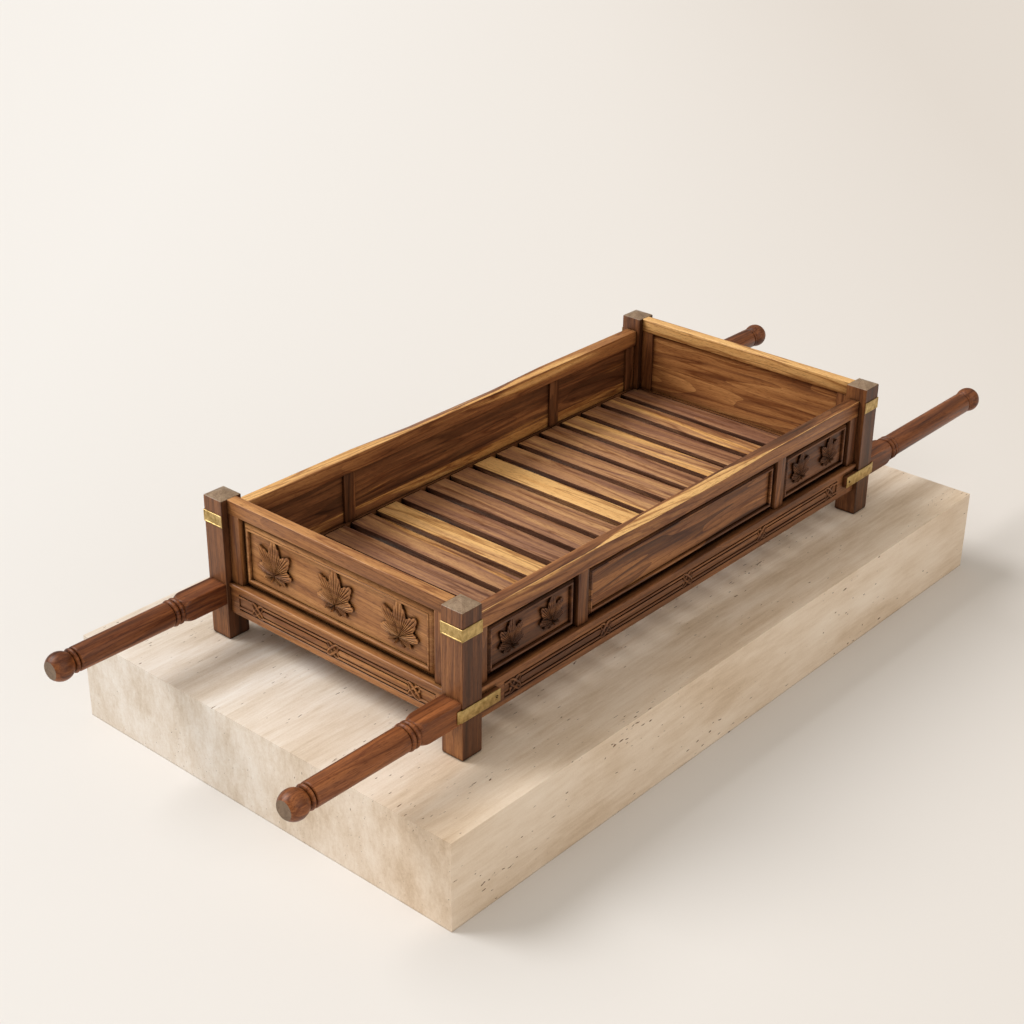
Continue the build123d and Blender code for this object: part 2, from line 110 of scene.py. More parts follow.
def new_material(name: str) -> tuple[bpy.types.Material, bpy.types.NodeTree, bpy.types.Node]:
    """Starts a node material.

    Args:
        name: name of the material.

    Returns:
        The material, its tree and its output node.
    """
    material = bpy.data.materials.new(name)
    material.use_nodes = True
    material.node_tree.nodes.clear()
    return material, material.node_tree, add(material.node_tree, "ShaderNodeOutputMaterial")


def veil(tree: bpy.types.NodeTree, base: bpy.types.NodeSocket, over: bpy.types.NodeSocket,
         share: float = 1.0) -> bpy.types.NodeSocket:
    """Darkens a colour by another one laid over it.

    Args:
        tree: the material's tree.
        base: colour underneath.
        over: colour that multiplies it.
        share: how much of it is laid on.

    Returns:
        The darkened colour.
    """
    return add(tree, "ShaderNodeMix", {"Factor": share, 6: base, 7: over}, data_type="RGBA",
               blend_type="MULTIPLY").outputs[2]


def hollows(tree: bpy.types.NodeTree, reach_mm: float) -> bpy.types.NodeSocket:
    """How open each point lies: 1 on an open face, less in a hollow.

    Args:
        tree: the material's tree.
        reach_mm: how far off another face still counts.

    Returns:
        The openness.
    """
    return add(tree, "ShaderNodeAmbientOcclusion", {"Distance": mm(reach_mm)}, samples=4).outputs["AO"]


def layered(tree: bpy.types.NodeTree, level: bpy.types.NodeSocket | float,
            patterns: Iterable[tuple[bpy.types.NodeSocket, float]]) -> bpy.types.NodeSocket:
    """Adds patterns to a level, each by its share.

    Args:
        tree: the material's tree.
        level: level without the patterns.
        patterns: the patterns and their shares.

    Returns:
        The sum.
    """
    for pattern, share in patterns:
        level = add(tree, "ShaderNodeMath", {0: pattern, 1: share, 2: level},
                    operation="MULTIPLY_ADD").outputs[0]
    return level


class Grain(Enum):
    """Which way a board's fibres run, as the turn that lays them along X."""

    ALONG_X = (0.0, 0.0, 0.0)
    ALONG_Y = (0.0, 0.0, -math.pi / 2)
    ALONG_Z = (0.0, math.pi / 2, 0.0)


@dataclass(frozen=True)
class OiledWalnut:
    """Planed black walnut, oiled: a satin brown with flowing dark lines and golden sapwood streaks.

    The oil deepens the heartwood and leaves a soft sheen, the growth rings run out along the board as long
    flames, and the open pores show as short dark dashes. Hollows, gaps and corners get painted shade,
    which also dulls the sheen there.
    """

    name: str
    grain: Grain
    seed: int
    tone: float = 0.0
    sapwood: float = 0.0
    figure: float = 1.0
    sway_deg: float = 2.0
    # width across the fibres and length along them
    bend_mm: Point = (110.0, 520.0)
    bend_by_mm: float = 30.0
    flame_mm: Point = (120.0, 1500.0)
    rings: float = 11.0
    band_mm: Point = (38.0, 900.0)
    streak_mm: Point = (7.0, 420.0)
    line_mm: Point = (44.0, 1000.0)
    sap_mm: Point = (62.0, 1300.0)
    # how much the bands, streaks and flames change the heartwood
    band_share: float = 0.34
    streak_share: float = 0.22
    flame_share: float = 0.12
    # pores are finer than a pixel, so they are drawn coarser than in the wood
    pore_mm: Point = (1.6, 26.0)
    # reach of the painted shade in hollows and gaps, and the openness at which it is darkest and at which it
    # ends
    hollow_mm: float = 20.0
    soot: Point = (0.18, 0.82)
    colours: tuple[str, ...] = ("#3A2212", "#613A21", "#8C5A35", "#AA7343", "#C89058")
    sap_colours: tuple[str, ...] = ("#A06A38", "#CC9352", "#E9B876")
    # shades at which the colours and the sapwood's colours lie
    stops: tuple[float, ...] = (0.10, 0.32, 0.52, 0.70, 0.92)
    sap_stops: tuple[float, ...] = (0.2, 0.5, 0.85)
    # level where sapwood starts on a board of heartwood, how far a full share lowers it, its edge's width
    sap_level: Size = (0.74, 0.42, 0.1)
    roughness: Point = (0.34, 0.50)
    sheen: float = 0.36

    def stretched(self, tree: bpy.types.NodeTree, lie: bpy.types.NodeSocket, size_mm: Point, detail: float,
                  output: str = "Fac") -> bpy.types.NodeSocket:
        """Noise drawn out along the fibres.

        Args:
            tree: the material's tree.
            lie: coordinates with the fibres along X.
            size_mm: width and length of the pattern.
            detail: the noise's octaves.
            output: which of the noise's outputs is wanted.

        Returns:
            The noise's output.
        """
        across, along = (1 / mm(size) for size in size_mm)
        scaled = add(tree, "ShaderNodeMapping", {"Vector": lie, "Scale": (along, across, across)})
        noise = add(tree, "ShaderNodeTexNoise", {"Vector": scaled.outputs[0], "Scale": 1.0, "Detail": detail,
                                                 "Roughness": 0.55})
        return noise.outputs[output]

    def lay(self, tree: bpy.types.NodeTree) -> bpy.types.NodeSocket:
        """Coordinates with this board's fibres along X, swaying as they grew.

        Args:
            tree: the material's tree.

        Returns:
            The coordinates.
        """
        # the factors have no common measure, so no two seeds are laid alike
        sway = math.radians(self.sway_deg)
        turn = Euler(self.grain.value).to_matrix()
        tilt = Euler((0.9 * self.seed, sway * math.sin(2.1 * self.seed), sway * math.cos(1.7 * self.seed)))
        lie = (tilt.to_matrix() @ turn).to_euler()
        shift = (1.37 * self.seed, 0.31 * math.sin(self.seed), 0.31 * math.cos(1.3 * self.seed))
        coords = add(tree, "ShaderNodeTexCoord")
        laid = add(tree, "ShaderNodeMapping", {"Vector": coords.outputs["Object"], "Rotation": lie,
                                               "Location": shift}).outputs[0]
        bend = self.stretched(tree, laid, self.bend_mm, 2.0, "Color")
        by = mm(self.bend_by_mm)
        return add(tree, "ShaderNodeVectorMath", {0: bend, 1: (0.0, by, by), 2: laid},
                   operation="MULTIPLY_ADD").outputs[0]

    def shade(self, tree: bpy.types.NodeTree, lie: bpy.types.NodeSocket,
              streak: bpy.types.NodeSocket) -> bpy.types.NodeSocket:
        """How light the heartwood is, from bands, streaks and the rings' flames.

        Args:
            tree: the material's tree.
            lie: coordinates with the fibres along X.
            streak: the fine streaks.

        Returns:
            A value that is about 0.5 on the middle of the colours.
        """
        band = add(tree, "ShaderNodeMapRange", {0: self.stretched(tree, lie, self.band_mm, 3.0), 1: 0.28,
                                                2: 0.72})
        rings = add(tree, "ShaderNodeMath", {0: self.stretched(tree, lie, self.flame_mm, 1.5), 1: self.rings},
                    operation="MULTIPLY")
        flame = add(tree, "ShaderNodeMath", {0: rings.outputs[0]}, operation="FRACT")
        flame_share = self.flame_share * self.figure
        base = self.tone + 0.5 - 0.5 * (self.band_share + self.streak_share + flame_share)
        return layered(tree, base, ((band.outputs[0], self.band_share), (streak, self.streak_share),
                                    (flame.outputs[0], flame_share)))

    def material(self) -> bpy.types.Material:
        """Builds the node material.

        Returns:
            The material.
        """
        material, tree, output = new_material(self.name)
        lie = self.lay(tree)
        streak = add(tree, "ShaderNodeMapRange", {0: self.stretched(tree, lie, self.streak_mm, 2.5), 1: 0.25,
                                                  2: 0.75}).outputs[0]
        pore = self.stretched(tree, lie, self.pore_mm, 1.0)
        level = self.shade(tree, lie, streak)
        darker_cut = add(tree, "ShaderNodeValToRGB", {0: level}, stops=tuple(zip(self.stops, self.colours)))
        pale = add(tree, "ShaderNodeValToRGB", {0: level}, stops=tuple(zip(self.sap_stops, self.sap_colours)))
        bare, lower_by, blur = self.sap_level
        start = bare - lower_by * self.sapwood
        edge = add(tree, "ShaderNodeMapRange", {0: self.stretched(tree, lie, self.sap_mm, 4.0), 1: start,
                                                2: start + blur}, interpolation_type="SMOOTHSTEP")
        wood = add(tree, "ShaderNodeMix", {
            "Factor": edge.outputs[0], 6: darker_cut.outputs[0], 7: pale.outputs[0]}, data_type="RGBA").outputs[2]
        lines = add(tree, "ShaderNodeValToRGB", {0: self.stretched(tree, lie, self.line_mm, 2.0)},
                    stops=((0.455, "#FFFFFF"), (0.5, "#BCA698"), (0.53, "#FFFFFF")))
        dashes = add(tree, "ShaderNodeValToRGB", {0: pore}, stops=((0.30, "#C6B9AF"), (0.46, "#FFFFFF")))
        # painted shade: the wood darkens to near black where another face lies near, in carving, gaps and
        # corners, and its sheen fades there too
        hollow = hollows(tree, self.hollow_mm)
        soot = add(tree, "ShaderNodeValToRGB", {0: hollow},
                   stops=((self.soot[0], "#22140B"), (self.soot[1], "#FFFFFF")))
        for over, share in ((lines, min(1.0, self.figure)), (dashes, 1.0), (soot, 1.0)):
            wood = veil(tree, wood, over.outputs[0], share)
        gloss = add(tree, "ShaderNodeMapRange", {0: streak, 3: self.roughness[0], 4: self.roughness[1]})
        sheen = add(tree, "ShaderNodeMapRange", {0: hollow, 1: self.soot[0], 2: self.soot[1], 3: 0.02,
                                                 4: self.sheen})
        relief = add(tree, "ShaderNodeBump", {"Strength": 0.3, "Distance": mm(0.4), "Height": pore})
        shader = add(tree, "ShaderNodeBsdfPrincipled", {
            "Base Color": wood, "Roughness": gloss.outputs[0], "Normal": relief.outputs[0],
            "Specular IOR Level": sheen.outputs[0]})
        tree.links.new(shader.outputs[0], output.inputs[0])
        return material

    def end_grain(self) -> "OiledWalnut":
        """The same board where its fibres are cut across: greyer, darker and a little waxed."""
        return replace(self, name=f"{self.name}_end", figure=0.4, streak_mm=(4.0, 90.0), hollow_mm=6.0,
                       colours=("#745E49", "#856E57", "#967F67", "#A78F76", "#B69F86"),
                       sap_colours=("#967F67", "#A78F76", "#B69F86"), roughness=(0.30, 0.42))


@dataclass(frozen=True)
class AgedBrass:
    """Rolled sheet brass, rubbed and aged: a pale satin olive yellow, brown where hands don't reach."""

    name: str = "aged_brass"
    bright: str = "#D2B67C"
    dull: str = "#A0844E"
    cloud_mm: float = 16.0
    hollow_mm: float = 5.0
    # the rubbing marks are finer than a pixel, so they are drawn wider than they are
    rub_mm: Point = (0.8, 30.0)
    roughness: Point = (0.34, 0.50)

    def material(self) -> bpy.types.Material:
        """Builds the node material.

        Returns:
            The material.
        """
        material, tree, output = new_material(self.name)
        coords = add(tree, "ShaderNodeTexCoord").outputs["Object"]
        cloud = add(tree, "ShaderNodeTexNoise", {
            "Vector": coords, "Scale": 1 / mm(self.cloud_mm), "Detail": 5.0, "Roughness": 0.6})
        across, along = (1 / mm(size) for size in self.rub_mm)
        stretched = add(tree, "ShaderNodeMapping", {"Vector": coords, "Scale": (along, along, across)})
        rub = add(tree, "ShaderNodeTexNoise", {"Vector": stretched.outputs[0], "Scale": 1.0, "Detail": 2.0})
        tint = add(tree, "ShaderNodeValToRGB", {0: cloud.outputs[0]},
                   stops=((0.32, self.dull), (0.62, self.bright)))
        gloss = add(tree, "ShaderNodeMapRange", {0: rub.outputs[0], 1: 0.3, 2: 0.7, 3: self.roughness[0],
                                                 4: self.roughness[1]})
        relief = add(tree, "ShaderNodeBump", {"Strength": 0.15, "Distance": mm(0.2),
                                              "Height": rub.outputs[0]})
        grime = add(tree, "ShaderNodeValToRGB", {0: hollows(tree, self.hollow_mm)},
                    stops=((0.25, "#4A3820"), (0.75, "#FFFFFF")))
        shader = add(tree, "ShaderNodeBsdfPrincipled", {
            "Base Color": veil(tree, tint.outputs[0], grime.outputs[0]), "Metallic": 1.0,
            "Roughness": gloss.outputs[0], "Normal": relief.outputs[0]})
        tree.links.new(shader.outputs[0], output.inputs[0])
        return material


@dataclass(frozen=True)
class HonedTravertine:
    """Vein-cut travertine, honed: matt cream stone in soft leaning layers with a few open pits along them."""

    name: str = "honed_travertine"
    colours: tuple[str, ...] = ("#CDBBA5", "#DFD1C0", "#EBE1D5", "#F5EFE7")
    lean_deg: float = 2.0
    # layers, veins, clouds and fibres: size along the layers, across them and up them, octaves and share
    shades: tuple[tuple[Size, float, float], ...] = (
        ((1500.0, 46.0, 120.0), 3.0, 0.22), ((170.0, 12.0, 30.0), 3.0, 0.18),
        ((460.0, 130.0, 200.0), 4.0, 0.52), ((90.0, 8.0, 10.0), 4.0, 0.20))
    # pits and specks: size, octaves and the level above which the stone is open
    holes: tuple[tuple[Size, float, float], ...] = (
        ((56.0, 6.5, 12.0), 1.0, 0.932), ((20.0, 4.5, 7.0), 0.0, 0.975))
    # how much the patches crowd the holes, and how far a hole's edge fades
    crowding: float = 0.3
    hole_edge: float = 0.045
    hole_colour: str = "#6A4A2E"
    patch_mm: Size = (330.0, 90.0, 160.0)
    grit_mm: Size = (5.0, 5.0, 5.0)
    grit_share: float = 0.12
    # the shade's level without its patterns, and the shades at which the colours lie
    ground: float = -0.10
    stops: tuple[float, ...] = (0.36, 0.47, 0.57, 0.70)
    # painted shade: the stone turns darker and browner towards the slab's right side
    brown: str = "#FAEFE1"
    right_shade_reach_mm: Point = (150.0, -700.0)
    # reach of the painted shade where another face lies near the stone
    hollow_mm: float = 14.0
    roughness: float = 0.62

    def noise(self, tree: bpy.types.NodeTree, size_mm: Size, detail: float) -> bpy.types.NodeSocket:
        """Noise with its own size along each axis of the leaning layers.

        Args:
            tree: the material's tree.
            size_mm: the pattern's size along the layers, across them and up them.
            detail: the noise's octaves.

        Returns:
            The noise's value.
        """
        coords = add(tree, "ShaderNodeTexCoord").outputs["Object"]
        leaning = add(tree, "ShaderNodeMapping", {
            "Vector": coords, "Rotation": (math.radians(self.lean_deg), 0, 0.004)})
        scaled = add(tree, "ShaderNodeMapping", {"Vector": leaning.outputs[0],
                                                 "Scale": tuple(1 / mm(size) for size in size_mm)})
        noise = add(tree, "ShaderNodeTexNoise", {"Vector": scaled.outputs[0], "Scale": 1.0, "Detail": detail,
                                                 "Roughness": 0.58})
        return noise.outputs[0]

    def material(self) -> bpy.types.Material:
        """Builds the node material.

        Returns:
            The material.
        """
        material, tree, output = new_material(self.name)
        grit = self.noise(tree, self.grit_mm, 3.0)
        patterns = [(self.noise(tree, size, octaves), share) for size, octaves, share in self.shades]
        level = layered(tree, self.ground, [(grit, self.grit_share), *patterns])
        stone = add(tree, "ShaderNodeValToRGB", {0: level}, stops=tuple(zip(self.stops, self.colours)))
        patches = self.noise(tree, self.patch_mm, 2.0)
        open_stone: bpy.types.NodeSocket | float = 0.0
        for size, octaves, edge in self.holes:
            crowded = layered(tree, self.noise(tree, size, octaves), [(patches, self.crowding)])
            hole = add(tree, "ShaderNodeMapRange", {0: crowded, 1: edge, 2: edge + self.hole_edge},
                       clamp=True)
            open_stone = add(tree, "ShaderNodeMath", {0: hole.outputs[0], 1: open_stone},
                             operation="MAXIMUM").outputs[0]
        pitted = add(tree, "ShaderNodeMix", {
            "Factor": open_stone, 6: stone.outputs[0], 7: linear(self.hole_colour)}, data_type="RGBA")
        depth = layered(tree, grit, [(open_stone, -1.0)])
        relief = add(tree, "ShaderNodeBump", {"Strength": 0.4, "Distance": mm(1.5), "Height": depth})
        # painted shade: the stone is tinted towards the brown colour from the middle out to the slab's right
        # side
        aside = add(tree, "ShaderNodeSeparateXYZ", {0: add(tree, "ShaderNodeTexCoord").outputs["Object"]})
        outer = add(tree, "ShaderNodeMapRange", {0: aside.outputs["Y"], 1: mm(self.right_shade_reach_mm[0]),
                                                 2: mm(self.right_shade_reach_mm[1])})
        painted_right_shade = add(tree, "ShaderNodeMix", {"Factor": outer.outputs[0], 6: linear("#FFFFFF"),
                                              7: linear(self.brown)}, data_type="RGBA")
        # painted shade: the stone darkens where another face lies near, as round the posts' feet
        painted_contact_shade = add(tree, "ShaderNodeValToRGB", {0: hollows(tree, self.hollow_mm)},
                   stops=((0.15, "#6E5A46"), (0.7, "#FFFFFF")))
        face = veil(tree, veil(tree, pitted.outputs[2], painted_right_shade.outputs[2]), painted_contact_shade.outputs[0])
        shader = add(tree, "ShaderNodeBsdfPrincipled", {
            "Base Color": face, "Roughness": self.roughness, "Normal": relief.outputs[0], "IOR": 1.5})
        tree.links.new(shader.outputs[0], output.inputs[0])
        return material


@dataclass(frozen=True)
class SeamlessPaper:
    """Matt warm-white backdrop paper laid under the plinth as one floor, a little darker to the right as
    painted shade.
    """

    name: str = "seamless_paper"
    # painted shade: the colours darken across the floor towards the right of the view
    colours: tuple[tuple[float, str], ...] = ((0.25, "#E4E2E0"), (0.55, "#DDD9D5"), (0.8, "#D2CCC6"))
    turn_deg: float = 49.0
    reach_m: float = 9.0

    def material(self) -> bpy.types.Material:
        """Builds the node material.

        Returns:
            The material.
        """
        material, tree, output = new_material(self.name)
        coords = add(tree, "ShaderNodeTexCoord").outputs["Object"]
        across = add(tree, "ShaderNodeMapping", {
            "Vector": coords, "Rotation": (0.0, 0.0, math.radians(self.turn_deg)),
            "Scale": (1 / self.reach_m,) * 3, "Location": (0.5, 0.5, 0.0)})
        side = add(tree, "ShaderNodeSeparateXYZ", {0: across.outputs[0]})
        tint = add(tree, "ShaderNodeValToRGB", {0: side.outputs["X"]}, stops=self.colours)
        shader = add(tree, "ShaderNodeBsdfPrincipled", {"Base Color": tint.outputs[0], "Roughness": 0.9,
                                                        "Specular IOR Level": 0.0})
        tree.links.new(shader.outputs[0], output.inputs[0])
        return material


class Slot(Enum):
    """Material slots of the record."""

    FRAME = "walnut_frame"
    DECK = "walnut_deck"
    BRASS = "aged_brass"
    STONE = "travertine"


def show(name: str, mesh: bmesh.types.BMesh, finishes: Sequence[bpy.types.Material],
         nodes: Sequence[str] = (), crease_deg: float = 38.0) -> bpy.types.Object:
    """Makes a finished piece from a mesh and sets it on the frame.

    Args:
        name: name of the piece.
        mesh: its mesh in the record's frame; it is used up.
        finishes: its finishes, in the order of its faces' material numbers.
        nodes: CAD nodes that the piece stands for.
        crease_deg: edges sharper than this stay sharp.

    Returns:
        The new object.
    """
    bmesh.ops.recalc_face_normals(mesh, faces=mesh.faces)
    data = bpy.data.meshes.new(name)
    mesh.to_mesh(data)
    mesh.free()
    data.shade_smooth()
    data.set_sharp_from_angle(angle=math.radians(crease_deg))
    for finish in finishes:
        data.materials.append(finish)
    piece = bpy.data.objects.new(name, data)
    bpy.context.scene.collection.objects.link(piece)
    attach(piece, "root")
    if nodes:
        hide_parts(*nodes)
    LOG.info("%s: %d faces", name, len(data.polygons))
    return piece


def ease(mesh: bmesh.types.BMesh, faces: Iterable[bmesh.types.BMFace], width: float,
         segments: int = 2) -> None:
    """Rounds the sharp edges between some faces.

    Args:
        mesh: mesh to change.
        faces: faces whose edges are rounded.
        width: width of the rounding in metres.
        segments: facets across the rounding.
    """
    edges = {edge for face in faces for edge in face.edges if edge.is_manifold}
    sharp = [edge for edge in edges if edge.calc_face_angle(0.0) > math.radians(20)]
    bmesh.ops.bevel(mesh, geom=sharp, offset=width, segments=segments, profile=0.5, affect="EDGES",
                    clamp_overlap=True)


def vertex(mesh: bmesh.types.BMesh, place: Matrix, *spot: float) -> bmesh.types.BMVert:
    """Adds a point that is given in mm in a local frame."""
    return mesh.verts.new(place @ Vector(mm(value) for value in spot))


def prism(mesh: bmesh.types.BMesh, outline: Sequence[Point], near: float, far: float, place: Matrix,
          round_mm: float = 0.0) -> None:
    """Adds an outline drawn out into a solid, with its edges rounded.

    Args:
        mesh: mesh that gets the solid.
        outline: points in the local x and y, in mm.
        near: local z of one end, in mm.
        far: local z of the other end, in mm.
        place: local frame of the solid, in metres.
        round_mm: width of the edges' rounding.
    """
    ends = [[vertex(mesh, place, x, y, z) for x, y in outline] for z in (near, far)]
    count = len(outline)
    faces = [mesh.faces.new(ends[0][::-1]), mesh.faces.new(ends[1])]
    for at in range(count):
        after = (at + 1) % count
        faces.append(mesh.faces.new((ends[0][at], ends[0][after], ends[1][after], ends[1][at])))
    if round_mm:
        bmesh.ops.recalc_face_normals(mesh, faces=faces)
        ease(mesh, faces, mm(round_mm))


def rectangle(x_range: Point, y_range: Point) -> list[Point]:
    """Corners of a rectangle, going round."""
    (left, right), (low, high) = x_range, y_range
    return [(left, low), (right, low), (right, high), (left, high)]


def bridge(mesh: bmesh.types.BMesh, loops: Sequence[Sequence[bmesh.types.BMVert]]) -> None:
    """Joins closed loops of as many points each, one to the next.

    Args:
        mesh: mesh that holds the points.
        loops: the loops in order.
    """
    for first, second in zip(loops, loops[1:]):
        count = len(first)
        for at in range(count):
            after = (at + 1) % count
            mesh.faces.new((first[at], first[after], second[after], second[at]))


def skin(mesh: bmesh.types.BMesh, loops: Sequence[Sequence[bmesh.types.BMVert]]) -> bmesh.types.BMFace:
    """Joins closed loops into a solid with a face on both ends.

    Args:
        mesh: mesh that holds the points.
        loops: the loops in order.

    Returns:
        The face on the last loop.
    """
    bridge(mesh, loops)
    mesh.faces.new(loops[0])
    return mesh.faces.new(loops[-1][::-1])


@dataclass
class Studio:
    """Camera at the photograph's angle, soft lights and the floor."""

    focal_px: float = 1806.4
    image_px: float = 1024.0
    sensor_mm: float = 36.0
    target_mm: Size = (141.8, 331.1, 278.0)
    distance_mm: float = 6031.2
    azimuth_deg: float = 41.041
    elevation_deg: float = 27.162
    roll_deg: float = 0.615
    floor_m: float = 60.0
    key_turn_deg: float = 102.0
    key_height_deg: float = 43.0
    key_spread_deg: float = 34.0
    key_strength: float = 2.6
    fill_turn_deg: float = -45.0
    fill_height_deg: float = 20.0
    fill_spread_deg: float = 60.0
    fill_strength: float = 0.76
    lamp_colour: str = "#FFFFFF"
    # the sky's strength from the horizon up
    sky: tuple[tuple[float, str], ...] = ((0.0, "#7D766B"), (0.35, "#A59D91"), (0.8, "#F1EBE1"))
    sky_strength: float = 0.80

    def view_axes(self) -> tuple[Vector, Vector, Vector]:
        """Works out which way the camera looks.

        Returns:
            The camera's right, up and forward directions.
        """
        azimuth, elevation, roll = (math.radians(angle) for angle in
                                    (self.azimuth_deg, self.elevation_deg, self.roll_deg))
        ahead = Vector((math.cos(azimuth) * math.cos(elevation), math.sin(azimuth) * math.cos(elevation),
                        -math.sin(elevation)))
        level = Vector((math.sin(azimuth), -math.cos(azimuth), 0))
        upright = level.cross(ahead)
        right = level * math.cos(roll) + upright * math.sin(roll)
        return right, upright * math.cos(roll) - level * math.sin(roll), ahead

    def build(self) -> None:
        """Sets up the camera, lamps, sky and floor."""
        right, up, ahead = self.view_axes()
        target = Vector(mm(value) for value in self.target_mm)
        lens = bpy.data.cameras.new("camera")
        lens.sensor_width = self.sensor_mm
        lens.lens = self.focal_px / self.image_px * self.sensor_mm
        camera = bpy.data.objects.new("camera", lens)
        place = Matrix((right, up, -ahead)).transposed().to_4x4()
        place.translation = target - ahead * mm(self.distance_mm)
        camera.matrix_world = place
        bpy.context.scene.collection.objects.link(camera)
        bpy.context.scene.camera = camera
        bpy.context.scene.view_settings.view_transform = "Standard"
        self.hang("key", self.key_turn_deg, self.key_height_deg, self.key_spread_deg, self.key_strength)
        self.hang("fill", self.fill_turn_deg, self.fill_height_deg, self.fill_spread_deg, self.fill_strength)
        self.paint_sky()
        self.lay_floor()

    def hang(self, name: str, turn_deg: float, height_deg: float, spread_deg: float, strength: float) -> None:
        """Hangs a broad soft light far off.

        Args:
            name: name of the light.
            turn_deg: how far to the camera's left it hangs.
            height_deg: how high above the floor it hangs.
            spread_deg: how broad it looks from the bier.
            strength: its strength.
        """
        lamp = bpy.data.lights.new(name, "SUN")
        lamp.angle = math.radians(spread_deg)
        lamp.energy = strength
        lamp.color = linear(self.lamp_colour)[:3]
        heading, rise = math.radians(self.azimuth_deg + 180 - turn_deg), math.radians(height_deg)
        towards = Vector((math.cos(heading) * math.cos(rise), math.sin(heading) * math.cos(rise),
                          math.sin(rise)))
        light = bpy.data.objects.new(name, lamp)
        light.rotation_euler = towards.to_track_quat("Z", "Y").to_euler()
        bpy.context.scene.collection.objects.link(light)

    def paint_sky(self) -> None:
        """Makes the sky, a studio ceiling that is brightest overhead."""
        world = bpy.data.worlds.new("sky")
        world.use_nodes = True
        tree = world.node_tree
        tree.nodes.clear()
        ray = add(tree, "ShaderNodeSeparateXYZ", {0: add(tree, "ShaderNodeTexCoord").outputs["Generated"]})
        glow = add(tree, "ShaderNodeValToRGB", {0: ray.outputs["Z"]}, stops=self.sky)
        back = add(tree, "ShaderNodeBackground", {"Color": glow.outputs[0], "Strength": self.sky_strength})
        add(tree, "ShaderNodeOutputWorld", {0: back.outputs[0]})
        bpy.context.scene.world = world

    def lay_floor(self) -> None:
        """Lays the floor, which is also the backdrop."""
        mesh = bmesh.new()
        bmesh.ops.create_grid(mesh, x_segments=1, y_segments=1, size=self.floor_m / 2)
        data = bpy.data.meshes.new("floor")
        mesh.to_mesh(data)
        mesh.free()
        data.materials.append(SeamlessPaper().material())
        floor = bpy.data.objects.new("floor", data)
        bpy.context.scene.collection.objects.link(floor)


@dataclass
class Tray:
    """Where the tray stands and how large it is, in mm, read from the posts of the frame."""

    post_mm: float = field(init=False)
    length_mm: float = field(init=False)
    width_mm: float = field(init=False)
    middle: Vector = field(init=False)

    def __post_init__(self) -> None:
        """Reads the sizes off two opposite posts."""
        low, _ = (Vector(corner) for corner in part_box("post_foot_right"))
        inner, high = (Vector(corner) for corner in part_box("post_head_left"))
        self.length_mm = 1000 * (high.x - low.x)
        self.width_mm = 1000 * (high.y - low.y)
        self.post_mm = 1000 * (high.x - inner.x)
        self.middle = Vector(((low.x + high.x) / 2, (low.y + high.y) / 2, low.z))

    def wall_place(self, along: Vector) -> Matrix:
        """Local frame of a wall: x along it, y up from the plinth, z out from the posts' outer faces.

        Args:
            along: direction of the wall's local x.

        Returns:
            The frame's matrix in metres.
        """
        out = along.cross(Vector((0, 0, 1)))
        half = mm(self.length_mm if abs(out.x) > 0.5 else self.width_mm) / 2
        place = Matrix((along, Vector((0, 0, 1)), out)).transposed().to_4x4()
        place.translation = self.middle + out * half
        return place


